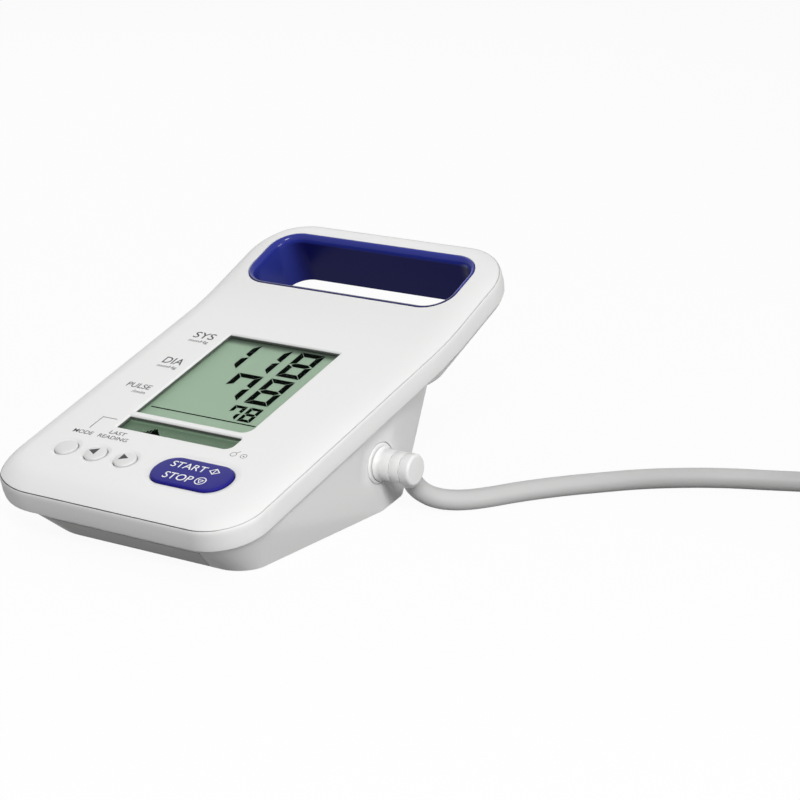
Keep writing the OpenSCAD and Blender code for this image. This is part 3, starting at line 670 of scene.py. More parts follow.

# %% [markdown]
# ## Blue liner of the handle
# The carry opening is lined with a separate ring of glossy blue plastic. Its mouth is bell
# shaped, which is what catches the long highlight, and its wall goes straight down through the
# handle. The steps go inwards over the mouth, down the inner wall, and outwards below. Its blue
# has painted light and shade: lighter at the left end and on the far side of the mouth, darker
# elsewhere.

# %% Liner
HANDLE_D = 22.4
MOUTH_W, MOUTH_H, MOUTH_STEPS = 2.2, 3.4, 9
LIT_LEFT_END_X, LIT_FAR_WALL_V, MOUTH_LOW = (-48, -40), (168, 176), -3.6


def stand_up(bm, place):
    bmesh.ops.transform(bm, matrix=Matrix.Scale(MM, 4) @ place, verts=bm.verts[:])


bm = bmesh.new()
face = outline(bm, -GRIP_W / 2, GRIP_V, GRIP_W / 2, GRIP_V + GRIP_L, [GRIP_R] * 4, 24, -0.25)
mouth = [(0.12, 0.22), (0.2, 0.1)]
for i in range(MOUTH_STEPS):
    a, b = (radians(90 * k / MOUTH_STEPS) for k in (i, i + 1))
    mouth.append((MOUTH_W * (sin(b) - sin(a)), MOUTH_H * (cos(b) - cos(a))))
face = step_face(bm, face, mouth)
face = step_face(bm, face, [(0, -HANDLE_D - face.verts[0].co.z)])
bmesh.ops.delete(bm, geom=[face], context="FACES_ONLY")
lower = [e for e in bm.edges if e.is_boundary and e.verts[0].co.z < -HANDLE_D + 0.1]
upper = [e for e in bm.edges if e.is_boundary and e not in lower]
made = bmesh.ops.extrude_edge_only(bm, edges=upper)
for vert in only(made, bmesh.types.BMVert):
    vert.co.z = -HANDLE_D
bmesh.ops.bridge_loops(bm, edges=lower + only(made, bmesh.types.BMEdge))
turn_outwards(bm)
stand_up(bm, on_handle)
liner_finish = moulded("liner_blue_with_painted_light", (0.014, 0.019, 0.20), rough=0.3, grain=0.002, drift=0.12,
                       Specular_IOR_Level=0.08, Coat_Roughness=0.12)
wire = Wire(liner_finish.node_tree)
handle_up = on_handle.to_3x3() @ Vector((0, 0, 1))
up = wire.node("ShaderNodeVectorMath", {"operation": "DOT_PRODUCT"},
               {0: place_of(wire), 1: handle_up}, out="Value")
mouth_low = (on_handle @ Vector((0, 0, MOUTH_LOW))).dot(handle_up) * MM
mouth_part = up.steps(mouth_low, mouth_low + 1 * MM)
# Painted light and shade: the left end of the liner and the far side of its mouth are painted a lit,
# brighter blue, and the rest a shaded, darker blue.
lit_left_end = 1 - coordinate(wire, 0).steps(*(x * MM for x in LIT_LEFT_END_X))
lit_far_mouth = coordinate(wire, 1).steps(*(bent((0, v, 0)).y * MM for v in LIT_FAR_WALL_V))
liner_blue_with_painted_light = lit_left_end.between(rgb(0.008, 0.009, 0.10), rgb(0.026, 0.038, 0.27))
feed(liner_finish.node_tree.nodes["Principled BSDF"], Coat_Weight=mouth_part * 0.3,
     Base_Color=(mouth_part * lit_far_mouth).between(liner_blue_with_painted_light, rgb(0.022, 0.032, 0.27)))
liner = even_light(piece("handle_liner_ring", bm, liner_finish,
                         replaces=["handle_liner"], sharp=40))
print("liner:", len(liner.data.polygons), "faces")

# %% [markdown]
# ## Case and battery cover
# The case's walls are plain planes and large rounds, which the solid already has. A copy of it
# is merged and cleaned, and only its edges are worked on: a fine round on each, because no
# moulded edge is knife sharp, and an edge without one never catches light. The case's right wall
# changes its draft half way, which draws a line across two long flat faces. The real wall turns
# softly there, so it is sliced into a net first, and the net's inner points are evened.

# %% Dressed copies of solids
WALL_SLICES = ((Vector((0, 1, 0)), -77, 21, 4), (Vector((0, 0, 1)), 2, 16, 2.5))
WALL_EVENED = 16
EDGE_SHARP, EDGE_FLAT = 25, 0.6


def soften_wall(bm):
    """Slices the right wall finely and evens it, so that its draft changes without a line."""
    def wall():
        bm.normal_update()
        return [f for f in bm.faces if f.normal.x > 0.9 and f.calc_center_median().x > 0.05]

    for normal, first, count, step in WALL_SLICES:
        for i in range(count):
            faces = wall()
            geom = [*{v for f in faces for v in f.verts}, *{e for f in faces for e in f.edges}]
            slice_at(bm, normal * (first + step * i) * MM, normal, 1e-5, geom + faces)
    faces = set(wall())
    verts = {v for f in faces for v in f.verts}
    inner = [v for v in verts if all(f in faces for f in v.link_faces)]
    for _ in range(WALL_EVENED):
        bmesh.ops.smooth_vert(bm, verts=inner, factor=0.5, use_axis_x=True, use_axis_y=True,
                              use_axis_z=True)
    print("softened wall:", len(inner), "points")


def dressed(node, name, finish, body, edge):
    """A merged copy of a solid with rounded edges, which stands for it."""
    bm = bmesh.new()
    bm.from_mesh(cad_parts[node].data)
    bmesh.ops.remove_doubles(bm, verts=bm.verts[:], dist=2e-6)
    bmesh.ops.dissolve_limit(bm, angle_limit=radians(EDGE_FLAT), verts=bm.verts[:],
                             edges=bm.edges[:], delimit={"NORMAL"})
    if node == "rear_case":
        soften_wall(bm)
    draw_in(bm)
    made = piece(name, bm, finish, body, [node], EDGE_SHARP)
    rounded = made.modifiers.new("edges", "BEVEL")
    rounded.width = edge * MM
    rounded.segments = 2
    rounded.limit_method = "ANGLE"
    rounded.angle_limit = radians(EDGE_SHARP)
    rounded.harden_normals = False
    return even_light(made)


case_finish = moulded("case_white", (0.83, 0.83, 0.825), rough=0.42, grain=0.006,
                      Specular_IOR_Level=0.2)
case = dressed("rear_case", "rear_case_skin", case_finish, "monitor", 0.25)
# The battery cover's grey is painted shade: it stands for the case's white plastic where the cover
# faces down, away from the light.
cover_shaded_finish = moulded("cover_painted_shade_grey", (0.48, 0.48, 0.47), rough=0.45, Specular_IOR_Level=0.15)
cover = dressed("battery_cover", "battery_cover_skin", cover_shaded_finish, "battery_cover", 0.4)
print("case:", len(case.data.polygons), "faces; cover:", len(cover.data.polygons), "faces")

# %% [markdown]
# ## Keys
# The round keys are lathe work: a low dome with a rolled edge. The start key is a long pill.
# Both go down into the panel's hole and end in a flange under its skin, which keeps them in,
# and in a stem that reaches down to the switch as far as the solid's stem does.

# %% Lathe
def lathe(bm, profile):
    """Spins (radius, height) points about Z; the first or last may lie on the axis."""
    verts = [bm.verts.new((r, 0, z)) for r, z in profile]
    edges = [bm.edges.new(pair) for pair in zip(verts, verts[1:])]
    bmesh.ops.spin(bm, geom=verts + edges, cent=(0, 0, 0), axis=(0, 0, 1), dvec=(0, 0, 0),
                   angle=2 * pi, steps=96, use_merge=True, use_duplicate=False)
    bmesh.ops.remove_doubles(bm, verts=bm.verts[:], dist=1e-4)
    turn_outwards(bm)


def arc(centre, radius, start, end, count):
    """Points along an arc, in degrees, for a lathe profile."""
    angles = [radians(start + (end - start) * i / count) for i in range(count + 1)]
    return [(centre[0] + radius * cos(a), centre[1] + radius * sin(a)) for a in angles]


KEY_PROUD, FLANGE, STEM_R, STEM_L = 0.6, 1.2, 1.6, 2.4
key_top = -SKIN - GAP
flange_low = key_top - FLANGE
stem_end = flange_low - STEM_L
key_finish = moulded("key_grey", (0.74, 0.74, 0.735), rough=0.45, grain=0.004,
                     Specular_IOR_Level=0.4)
dome = [(r, KEY_PROUD - drop) for r, drop in ((0, 0), (1.8, 0.02), (2.9, 0.09), (3.6, 0.17))]
key_profile = (dome + arc((KEY_R - 0.6, KEY_PROUD - 0.85), 0.6, 78, 0, 7)
               + [(KEY_R, key_top), (KEY_R + FLANGE, key_top), (KEY_R + FLANGE, flange_low),
                  (STEM_R, flange_low), (STEM_R, stem_end), (0, stem_end)])
for node, (x, v) in zip(("mode_key", "back_key", "forward_key"), key_places):
    bm = bmesh.new()
    lathe(bm, key_profile)
    stand_up(bm, on_panel @ Matrix.Translation((x, v, 0)))
    piece(node + "_cap", bm, key_finish, node, [node], 40)

START_PROUD, START_STEM_R = 0.5, 2
start_blue = moulded("start_key_blue", (0.022, 0.019, 0.235), rough=0.4, grain=0.002, drift=0.08,
                     Specular_IOR_Level=0.06)
bm = bmesh.new()
step_face(bm, start_outline(bm, 0, flange_low),
          [(0, START_PROUD - 0.6 - flange_low), (0.04, 0.22), (0.12, 0.18), (0.2, 0.12),
           (0.4, 0.07), (1.2, 0.06), (2.2, 0.04), (2.4, 0.02)])
close_holes(bm)
step_face(bm, start_outline(bm, -FLANGE, flange_low), [(0, FLANGE)])
step_face(bm, disc(bm, START_X, START_V, START_STEM_R, stem_end, 32), [(0, STEM_L)])
close_holes(bm)
stand_up(bm, on_panel)
even_light(piece("start_stop_key_cap", bm, start_blue, "start_stop_key",
                 ["start_stop_key"], 35))
print("four keys")

# %% [markdown]
# ## Display
# The display is a stack: a clear sheet set in a pocket under the face, and the liquid crystal
# cell close below it. Its grey-green is the reflector seen through the crystal. The narrow window
# is painted a much darker green as painted shade, and a band along the top of the large window is
# painted shadow. The segments are bars with mitred ends, as on every seven-segment display.

# %% Seven-segment digits
LENS_T = 0.8
lcd_top = -PANE_SKIN - LENS_T
SEGMENTS = {"1": "bc", "7": "abcf", "8": "abcdefg"}


def digit(bm, figure, x0, v0, x1, v1, width, height):
    """One figure in its box; a to f go round clockwise from the top, g is the middle bar."""
    gap, half = 0.06 * width, width / 2
    left, right = x0 + width + gap, x1 - width - gap
    middle = (v0 + v1) / 2

    def flat_bar(edge, inner):
        return [(x0 + gap, edge), (x1 - gap, edge), (right, inner), (left, inner)]

    def side_bar(edge, inner, end, turn):
        return [(edge, end - turn * gap), (edge, middle + turn * gap),
                (inner, middle + turn * (half + gap)), (inner, end - turn * (width + gap))]

    bars = {"a": flat_bar(v1, v1 - width), "d": flat_bar(v0, v0 + width),
            "b": side_bar(x1, x1 - width, v1, 1), "c": side_bar(x1, x1 - width, v0, -1),
            "f": side_bar(x0, x0 + width, v1, 1), "e": side_bar(x0, x0 + width, v0, -1),
            "g": [(x0 + 0.4 * width, middle), (left, middle + half), (right, middle + half),
                  (x1 - 0.4 * width, middle), (right, middle - half), (left, middle - half)]}
    for name in SEGMENTS[figure]:
        polygon(bm, bars[name], height)


def show_reading(bm, height):
    """Three readings, the line under them and the pointer in the narrow window."""
    figures = [("1", -20.6, 101.7, -10.5, 120.3, 2.4), ("1", -5.6, 101.7, 4.5, 120.3, 2.4),
               ("8", 8.7, 101.8, 19.8, 120.4, 2.4),
               ("7", -6.9, 80.9, 4.8, 99.4, 2.4), ("8", 8.6, 80.8, 19.7, 99.5, 2.4),
               ("7", 6.8, 68.6, 12.6, 78.2, 1.45), ("8", 14.0, 68.5, 19.9, 78.3, 1.45)]
    for figure, x0, v0, x1, v1, width in figures:
        dx, dv = 0.03 * width, 0.039 * width
        digit(bm, figure, x0 - dx, v0 - dv, x1 + dx, v1 + dv, 1.14 * width, height)
    square = (0, 0, 0, 0)
    outline(bm, -25.7, 66.65, 24.0, 67.3, square, height=height)
    left, foot, peak, right = -16.8, 49.6, 53.7, -8.2
    middle = left + 4.2
    polygon(bm, ((middle, foot), (right, foot), (middle + 0.2, peak)), height)
    for i in range(4):
        x = left + 0.5 + i
        top = foot + (peak - foot) * (x - left + 0.25) / (middle - left)
        outline(bm, x, foot, x + 0.75, top, square, height=height)


def ink(name, colour):
    """Print or crystal: a flat dark layer whose cover is a little uneven."""
    made, surface, wire = start_finish(name, Specular_IOR_Level=0.0)
    cover = noise(wire, 1.1, 3)
    thin = rgb(*(min(c * 1.25 + 0.003, 1) for c in colour))
    feed(surface, Base_Color=cover.between(rgb(*colour), thin), Roughness=cover * 0.1 + 0.45)
    return made


def thicken(bm, depth):
    """Gives loose flat faces a small thickness downwards, so that they are closed."""
    turn_outwards(bm)
    made = bmesh.ops.extrude_face_region(bm, geom=bm.faces[:])
    bmesh.ops.translate(bm, verts=only(made, bmesh.types.BMVert), vec=(0, 0, -depth))
    turn_outwards(bm)


PRINT_T = 0.02


def printed(name, bm, finish, body="monitor", thickness=PRINT_T):
    thicken(bm, thickness)
    stand_up(bm, on_panel)
    piece(name, bm, finish, body)


segment_finish = ink("segment_black", (0.001, 0.002, 0.0015))
bm = bmesh.new()
show_reading(bm, lcd_top + 0.06)
printed("display_segments", bm, segment_finish)
print("display segments")

# %% Display cell
STRIP_PAINTED_SHADE_V, TOP_PAINTED_SHADOW_V = (55, 58), (117.9, 121.6)


def up_to(wire, layout_v):
    """0 below the first and 1 above the second of two distances up the slope."""
    return coordinate(wire, 1).steps(*((front_y + v * cos(PANEL_TILT)) * MM for v in layout_v))


def refinish(node, finish):
    """Gives a solid that stays a solid its finish."""
    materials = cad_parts[node].data.materials
    materials.clear()
    materials.append(finish)


lcd_finish, lcd_surface, wire = start_finish("display_green", Specular_IOR_Level=0.1)
cloud = noise(wire, 22, 3)
weave = noise(wire, 0.35, 1)
green = (cloud * 0.5 + 0.25).between(rgb(0.345, 0.46, 0.345), rgb(0.41, 0.535, 0.41))
# Painted shade: the narrow window is painted a much darker green, and a band along the top of the
# large window is painted shadow of the window's far wall.
green = (1 - up_to(wire, STRIP_PAINTED_SHADE_V)).between(green, rgb(0.14, 0.21, 0.14))
green = up_to(wire, TOP_PAINTED_SHADOW_V).between(green, rgb(0.12, 0.15, 0.12))
feed(lcd_surface, Base_Color=green, Roughness=weave * 0.12 + 0.38, Normal=relief(wire, weave, 0.003))
refinish("lcd_cell", lcd_finish)
print("display cell finished")

# %% [markdown]
# The clear sheet is thin acrylic. Full refraction would darken it and cost many samples, so its
# finish mixes a see-through and a glossy surface. The share of gloss grows where the sheet is
# seen at a flat angle. Layer Weight's Facing gives that angle on both sides of the sheet, where
# the Fresnel node takes the back face for the inside of a block and turns it into a mirror.
# Real sheets have a coating against glare, so the share starts low.

# %% Clear sheet
SHEET_OVER_CELL, SHEET_EDGE = 0.1, 0.08
lens_finish, gloss, wire = start_finish("clear_sheet", Base_Color=rgb(0.02, 0.025, 0.022))
feed(gloss, Roughness=noise(wire, 9, 4) * 0.06 + 0.03)
clear = wire.node("ShaderNodeBsdfTransparent", None, {"Color": rgb(0.97, 0.985, 0.975)})
facing = wire.node("ShaderNodeLayerWeight", None, {"Blend": 0.5}, out="Facing")
glare = facing.math("POWER", facing, 5.0) * 0.12 + 0.001
show(wire.node("ShaderNodeMixShader", None,
               {0: glare, 1: clear, 2: Wire(wire.tree, gloss.outputs[0])}))
bm = bmesh.new()
face = outline(bm, -pane_x, pane_v0, pane_x, pane_v1, [1.7] * 4, 8, lcd_top + SHEET_OVER_CELL)
step_face(bm, face, [(0, LENS_T - 0.22), (SHEET_EDGE, SHEET_EDGE)])
close_holes(bm)
stand_up(bm, on_panel)
piece("display_window", bm, lens_finish, replaces=["display_lens"])
print("clear sheet")

# %% [markdown]
# A thin dark lining in both windows, between the face's rounded edge and the sheet, is painted
# shade: it stands for the windows' own walls in shade, and at a flat angle its far wall shows as
# the dark band that frames the display. It is the window's outline, inset once for its thickness
# and drawn down.

# %% Painted shade lining of the windows
SHADE_LINING_T, SHADE_LINING_TOP, SHADE_LINING_FIT = 0.12, -0.75, 0.02
# Painted shade: a dark lining where the window walls lie in shade.
shade_lining_finish = moulded("shade_lining_dark", (0.09, 0.10, 0.09), rough=0.7, grain=0.01)
bm = bmesh.new()
for v0, v1, radii in WINDOWS:
    face = outline(bm, SHADE_LINING_FIT - WINDOW_W / 2, v0 + SHADE_LINING_FIT, WINDOW_W / 2 - SHADE_LINING_FIT,
                   v1 - SHADE_LINING_FIT, radii, height=SHADE_LINING_TOP)
    make_ring(bm, face, SHADE_LINING_T)
printed("window_shade_lining", bm, shade_lining_finish,
        thickness=SHADE_LINING_TOP + PANE_SKIN - SHADE_LINING_FIT)
print("gasket")

# %% [markdown]
# A thin seal fills the groove between face and rim and draws a fine dark joint line along the
# face's edge. Its darkness along the front only is painted shade: towards the sides, where hardly
# a line shows, the seal is pale.

# %% Seal in the groove
SEAL_IN, SEAL_W, SEAL_TOP, SEAL_T = 0.54, 0.34, -2.68, 0.2
SEAL_SHADE_FADES_X, SEAL_SHADE_FADES_Y = (42, 58), (15, 40)
bm = bmesh.new()
face = outline(bm, SEAL_IN - half_w, SEAL_IN, half_w - SEAL_IN, END_V - SEAL_IN,
               [r - SEAL_IN for r in PANEL_RADII], 24, SEAL_TOP)
make_ring(bm, face, SEAL_W)
thicken(bm, SEAL_T)
bend_up(bm)
seal_finish, seal_surface, wire = start_finish("seal_dark", Specular_IOR_Level=0.1)
not_right = 1 - coordinate(wire, 0).steps(*(x * MM for x in SEAL_SHADE_FADES_X))
not_back = 1 - coordinate(wire, 1).steps(*((front_y + y) * MM for y in SEAL_SHADE_FADES_Y))
# Painted shade: the seal is dark only along the front and turns pale towards the right and the back.
front_painted_shade = not_right * not_back
feed(seal_surface, Roughness=noise(wire, 3, 2) * 0.1 + 0.65,
     Base_Color=front_painted_shade.between(rgb(0.6, 0.6, 0.595), rgb(0.07, 0.07, 0.07)))
piece("face_seal", bm, seal_finish)
print("seal")

# %% [markdown]
# ## Printed legends
# The legends are pad printed: ink a few hundredths of a millimetre thick. Text objects give the
# letters; they become meshes, are fitted to the measured box of the printing, and lie just over
# the face. The words on such a panel are plain function words, and nothing else is printed.

# %% Text fitted to a box
LETTER_BOLD = 0.004


def lettering(bm, height, text, x0, v0, x1, v1):
    """Adds the word to bm, stretched to fill the box from (x0, v0) to (x1, v1)."""
    curve = bpy.data.curves.new("word", "FONT")
    curve.body = text
    curve.offset = LETTER_BOLD
    curve.resolution_u = 4
    word = new_object("word", curve)
    mesh = evaluated_mesh(word)
    bpy.data.objects.remove(word)
    xs = [v.co.x for v in mesh.vertices]
    ys = [v.co.y for v in mesh.vertices]
    sx = (x1 - x0) / (max(xs) - min(xs))
    sy = (v1 - v0) / (max(ys) - min(ys))
    mesh.transform(Matrix.Translation((x0 - min(xs) * sx, v0 - min(ys) * sy, height))
                   @ Matrix.Diagonal((sx, sy, 1, 1)))
    bm.from_mesh(mesh)
    bpy.data.meshes.remove(mesh)


def line_mark(bm, points, width, height):
    """A thin printed line through the points, as plain strips."""
    for a, b in zip(points, points[1:]):
        a, b = Vector(a), Vector(b)
        along = (b - a).normalized() * width / 2
        side = Vector((-along.y, along.x))
        a, b = a - along, b + along
        polygon(bm, [a + side, a - side, b - side, b + side], height)


INK_Z = 0.03
grey_ink = ink("ink_grey", (0.10, 0.10, 0.105))
bm = bmesh.new()
words = [("SYS", -41.05, 114.6, -31.2, 119.1), ("mmHg", -40.7, 110.9, -31.2, 113.2),
         ("DIA", -40.6, 93.6, -31.3, 98.1), ("mmHg", -40.6, 89.9, -31.3, 92.2),
         ("PULSE", -43.1, 73.7, -31.7, 76.9), ("/min", -37.8, 70.4, -31.5, 72.3),
         ("MODE", -41.4, 38.6, -32.2, 40.9), ("LAST", -26.2, 41.9, -18.7, 44.1),
         ("READING", -29.3, 38.6, -15.4, 40.8)]
for word in words:
    lettering(bm, INK_Z, *word)
line_mark(bm, [(-36.4, 43.1), (-36.3, 51.3), (-29.7, 51.4)], 0.32, INK_Z)
RINGS_V, LEFT_RING_X, RIGHT_RING_X = 44.8, 30.4, 35.0
for x in (LEFT_RING_X, RIGHT_RING_X):
    make_ring(bm, disc(bm, x, RINGS_V, 1.35, INK_Z, 32), 0.2)
disc(bm, RIGHT_RING_X, RINGS_V, 0.35, INK_Z, 16)
line_mark(bm, [(31.0, 45.9), (32.0, 47.2)], 0.22, INK_Z)
printed("panel_legends", bm, grey_ink)
print("panel legends")

# %% Legends on the keys
white_ink = ink("ink_white", (0.80, 0.80, 0.80))
key_face_z = START_PROUD + 0.12
bm = bmesh.new()
lettering(bm, key_face_z, "START", 12.3, 29.8, 28.0, 33.4)
lettering(bm, key_face_z, "STOP", 13.9, 22.5, 26.7, 26.5)
MARK_X, MARK_V, MARK_LINE = 31.6, 31.7, 0.42
STOP_MARK = (30.2, 24.8)
diamond = disc(bm, MARK_X, MARK_V, 2.5, key_face_z, 4)
bmesh.ops.scale(bm, verts=diamond.verts[:], vec=(1, 0.8, 1),
                space=Matrix.Translation((-MARK_X, -MARK_V, 0)))
make_ring(bm, diamond, MARK_LINE)
line_mark(bm, [(MARK_X, MARK_V - 1.3), (MARK_X, MARK_V + 1.3)], MARK_LINE, key_face_z)
make_ring(bm, disc(bm, *STOP_MARK, 2.35, key_face_z, 32), 0.45)
triangle = disc(bm, *STOP_MARK, 1.6, key_face_z, 3)
bmesh.ops.rotate(bm, verts=triangle.verts[:], cent=(*STOP_MARK, 0),
                 matrix=Matrix.Rotation(pi, 3, "Z"))
make_ring(bm, triangle, 0.35)
printed("start_key_legend", bm, white_ink, "start_stop_key")

MARKS = {"back": [(-25.2, 29.0), (-21.4, 31.1), (-21.4, 26.9)],
         "forward": [(-6.4, 29.0), (-9.8, 27.0), (-9.8, 31.0)]}
for way, points in MARKS.items():
    bm = bmesh.new()
    polygon(bm, points, KEY_PROUD + PRINT_T)
    printed(way + "_mark", bm, grey_ink, way + "_key")
print("key legends")

# %% [markdown]
# ## Air socket, plug and cuff connector
# All three are turned pieces. The plug's grip has three bands with narrow grooves between them
# and a rounded cap, which fingers hold to pull it off. The profile of each is written as a
# walk along its length, and the lathe does the rest.

# %% Turned pieces of the air path
PORT_WALL_X, PORT_FACE_X = 55.0, 56.0
PORT_R, BORE_R = 8.0, 3.3
PLUG_R, PLUG_X1 = 6.1, 72.0
along_x = Matrix.Translation((0, PORT_Y, PORT_Z)) @ Matrix.Rotation(pi / 2, 4, "Y")
plug_finish = moulded("plug_white", (0.84, 0.84, 0.835), rough=0.4, grain=0.004,
                      Specular_IOR_Level=0.4)


def turned(name, profile, place, body, replaces=()):
    bm = bmesh.new()
    lathe(bm, profile)
    stand_up(bm, place)
    piece(name, bm, plug_finish, body, replaces, 35)


socket_profile = ([(1, 37), (1.9, 37), (1.9, 45), (6, 45), (6, PORT_WALL_X),
                   (PORT_R - 0.1, PORT_WALL_X)]
                  + arc((PORT_R - 0.5, PORT_FACE_X - 0.5), 0.5, 0, 90, 6)
                  + [(BORE_R + 0.3, PORT_FACE_X), (BORE_R, PORT_FACE_X - 0.3), (BORE_R, 46),
                     (1, 46), (1, 37)])
turned("air_socket_flange", socket_profile, along_x, "monitor", ["air_socket"])

r = PLUG_R
plug_in = PORT_FACE_X + GAP
third = (PLUG_X1 - plug_in - 2.6) / 3
plug_profile = [(0, PORT_WALL_X - 8), (BORE_R - 0.7, PORT_WALL_X - 8),
                (BORE_R - 0.3, PORT_WALL_X - 7.4), (BORE_R - 0.3, plug_in), (PORT_R - 1.5, plug_in)]
plug_profile += arc((PORT_R - 1.6, plug_in + 0.45), 0.4, -90, 60, 6)
plug_profile += [(r - 0.2, plug_in + 1.5), (r - 0.45, plug_in + 2.2)]
for i in range(3):
    start = plug_in + 2.6 + i * third
    plug_profile += [(r - 0.5, start + 0.02), (r - 0.12, start + 0.12), (r, start + 0.45)]
    if i < 2:
        end = start + third
        plug_profile += [(r, end - 0.5), (r - 0.12, end - 0.22), (r - 0.5, end - 0.12)]
plug_profile += arc((r - 1.1, PLUG_X1 - 1.1), 1.1, 0, 90, 10) + [(0, PLUG_X1)]
turned("air_plug_grip", plug_profile, along_x, "air_hose", ["air_plug"])

outlet_place = (Matrix.Translation((OUTLET_X, PORT_Y, PORT_Z))
                @ Matrix.Rotation(-pi / 2 - OUTLET_DOWN, 4, "X"))
collar_r = HOSE_D / 2 + 0.2
collar_profile = [(0, 0), (collar_r, 0), (collar_r, OUTLET_L - 0.5),
                  (collar_r - 0.2, OUTLET_L - 0.1), (collar_r - 0.5, OUTLET_L), (0, OUTLET_L)]
turned("air_plug_outlet", collar_profile, outlet_place, "air_hose")

cuff_place = (Matrix.Translation(coil_run[-1]) @ Matrix.Rotation(radians(COIL_END - 90), 4, "Z")
              @ Matrix.Rotation(pi / 2, 4, "Y"))
CUFF_R, CUFF_GROOVE_R, CUFF_L, CUFF_SPIGOT_R, CUFF_END = 5.2, 4.9, 16, 3, 28
GROOVE_FROM, GROOVE_PITCH = 2.6, 2.4
cuff_profile = [(0, 0), (CUFF_R - 0.6, 0), (CUFF_R, 0.6)]
for i in range(5):
    start = GROOVE_FROM + GROOVE_PITCH * i
    cuff_profile += [(CUFF_R, start), (CUFF_GROOVE_R, start + 0.3), (CUFF_GROOVE_R, start + 0.7),
                     (CUFF_R, start + 1)]
cuff_profile += [(CUFF_R, CUFF_L - 0.6), (CUFF_R - 0.6, CUFF_L), (CUFF_SPIGOT_R, CUFF_L),
                 (CUFF_SPIGOT_R, CUFF_END - 0.6), (CUFF_SPIGOT_R - 0.5, CUFF_END), (0, CUFF_END)]
turned("cuff_connector", cuff_profile, cuff_place, "air_hose", ["cuff_plug"])
print("air path")

# %% [markdown]
# ## Hose tie
# A strap of woven hook-and-loop tape holds the coil. It is a rounded outline of the bundle,
# drawn out to the strap's width.

# %% Hose tie
TIE_A = radians(60)
TIE_W, TIE_T, TIE_R = 12.0, 0.6, 3.4
tie_place = (Matrix.Translation((COIL_X, COIL_Y, 0)) @ Matrix.Rotation(TIE_A, 4, "Z")
             @ Matrix.Translation(((COIL_IN + COIL_OUT) / 2, 0, HOSE_D))
             @ Matrix.Rotation(pi / 2, 4, "X"))
bm = bmesh.new()
half = HOSE_D + TIE_T
face = outline(bm, -half, -HOSE_D, half, half, [TIE_R] * 4, 8, -TIE_W / 2)
make_ring(bm, face, TIE_T)
made = bmesh.ops.extrude_face_region(bm, geom=bm.faces[:])
bmesh.ops.translate(bm, verts=only(made, bmesh.types.BMVert), vec=(0, 0, TIE_W))
turn_outwards(bm)
stand_up(bm, tie_place)
tie_finish = moulded("tie_black", (0.03, 0.03, 0.033), rough=0.85, grain=0.12, grain_size=0.5)
piece("hose_tie_strap", bm, tie_finish, "air_hose", ["hose_tie"])
print("tie")

# %% [markdown]
# ## Pieces that stay as solids
# Inner and lower pieces keep their solids. They only need a finish each.

# %% Finishes of the inner pieces
INNER = {
    "rubber_dark": ((0.035, 0.035, 0.036), dict(rough=0.8, grain=0.02, grain_size=0.6),
                    ("feet", "pump_rings")),
    "dark_plastic": ((0.02, 0.02, 0.022), dict(rough=0.5),
                     ("pump_head", "release_valve", "pressure_sensor", "beeper", "power_jack",
                      "key_switches")),
    "inner_grey": ((0.35, 0.35, 0.34), dict(rough=0.5), ("lcd_holder",)),
    "backlight_white": ((0.85, 0.85, 0.78), dict(rough=0.5), ("backlight",)),
    "board_green": ((0.012, 0.10, 0.04), dict(rough=0.35, grain=0.01, grain_size=1.5, drift=0.3),
                    ("main_board",)),
    "steel_bright": ((0.55, 0.55, 0.55), dict(rough=0.3, grain=0.002, Metallic=1.0),
                     ("case_screws", "board_screws", "socket_nut", "pump_motor")),
    "cell_sleeve": ((0.03, 0.08, 0.30), dict(rough=0.3), ("battery_pack",)),
    "lead_red": ((0.45, 0.02, 0.015), dict(rough=0.4), ("battery_lead",)),
    "tube_clear": ((0.6, 0.6, 0.58), dict(rough=0.35), ("inner_tube",))}
for name, (colour, settings, nodes) in INNER.items():
    finish = moulded(name, colour, **settings)
    for node in nodes:
        refinish(node, finish)
print(len(INNER), "finishes for the inner pieces")

# %% [markdown]
# ## Studio
# The photograph is cut out on white, with hardly a shadow. The floor is plain and pale. To the
# camera, and in gloss and glass, it is mostly a white of strength one that keeps a little of
# the real shading, so the shadow stays. To all other light it is a plain pale surface, so the
# object's lower faces get an honest, darker bounce.

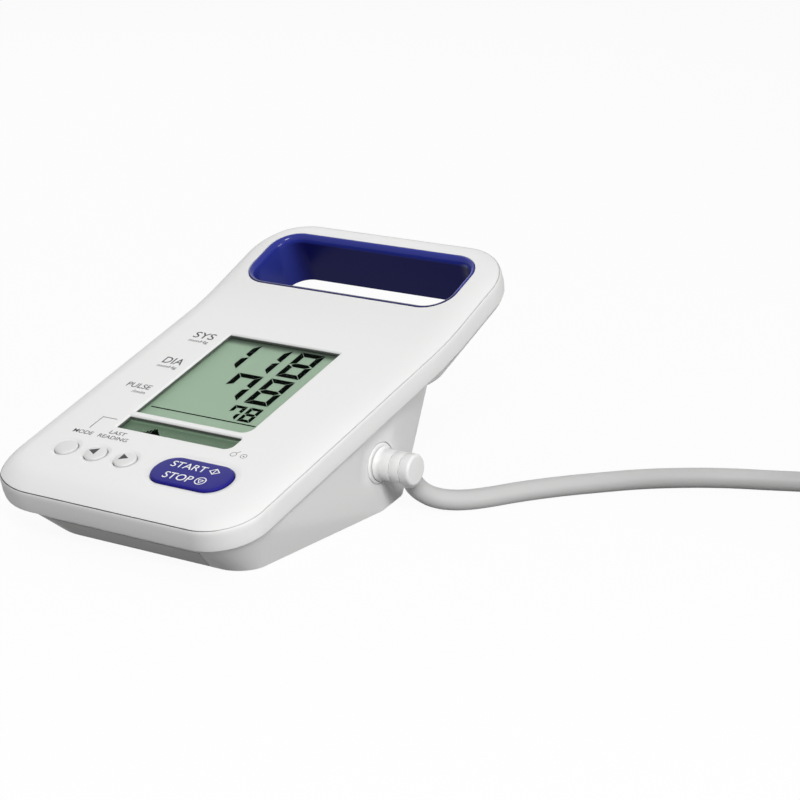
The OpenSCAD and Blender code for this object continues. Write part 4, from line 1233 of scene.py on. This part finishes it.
# %% Floor
def seen_directly(wire):
    """1 for what the camera sees straight, mirrored or through glass, 0 for other light."""
    camera_ray, glossy_ray, clear_ray = (
        wire.node("ShaderNodeLightPath", out=f"Is {kind} Ray")
        for kind in ("Camera", "Glossy", "Transmission"))
    return camera_ray + glossy_ray + clear_ray


bm = bmesh.new()
bmesh.ops.create_grid(bm, x_segments=1, y_segments=1, size=6)
floor = new_object("floor", as_mesh("floor", bm))
floor_finish, surface, wire = start_finish("floor_white")
pale = wire.node("ShaderNodeBsdfDiffuse", None, {"Color": rgb(0.15, 0.15, 0.15)})
white = wire.node("ShaderNodeEmission", None, {"Color": rgb(1, 1, 1), "Strength": 1.0})
paper = wire.node("ShaderNodeBsdfDiffuse", None, {"Color": rgb(0.9, 0.9, 0.9)})
backdrop = wire.node("ShaderNodeMixShader", None, {0: 0.06, 1: white, 2: paper})
show(wire.node("ShaderNodeMixShader", None, {0: seen_directly(wire), 1: pale, 2: backdrop}))
floor.data.materials.append(floor_finish)

# %% World and lamps
world = bpy.data.worlds.new("studio")
scene.world = world
world.use_nodes = True
wire = Wire(world.node_tree)
grey = wire.node("ShaderNodeBackground", None, {"Color": rgb(1, 1, 1), "Strength": 0.28})
white = wire.node("ShaderNodeBackground", None, {"Color": rgb(1, 1, 1), "Strength": 1.0})
show(wire.node("ShaderNodeMixShader", None, {0: seen_directly(wire), 1: grey, 2: white}),
     "World Output")

LAMPS_AIM = Vector((0, 0, 0.03))
for name, place, size, power in (("key_light", (0.66, -0.86, 0.78), (0.3, 0.3), 10.3),
                                 ("side_light", (1.38, -0.05, 0.22), (0.5, 0.3), 6.0),
                                 ("top_light", (-0.5, 0.1, 1.2), (0.8, 0.8), 1.4),
                                 ("back_light", (-0.9, 0.9, 0.9), (0.8, 0.8), 3.2)):
    data = bpy.data.lights.new(name, "AREA")
    data.shape = "RECTANGLE"
    data.size, data.size_y = size
    data.energy = power
    lamp = new_object(name, data)
    lamp.location = place
    lamp.rotation_euler = (LAMPS_AIM - Vector(place)).to_track_quat("-Z", "Y").to_euler()
print("studio lit")
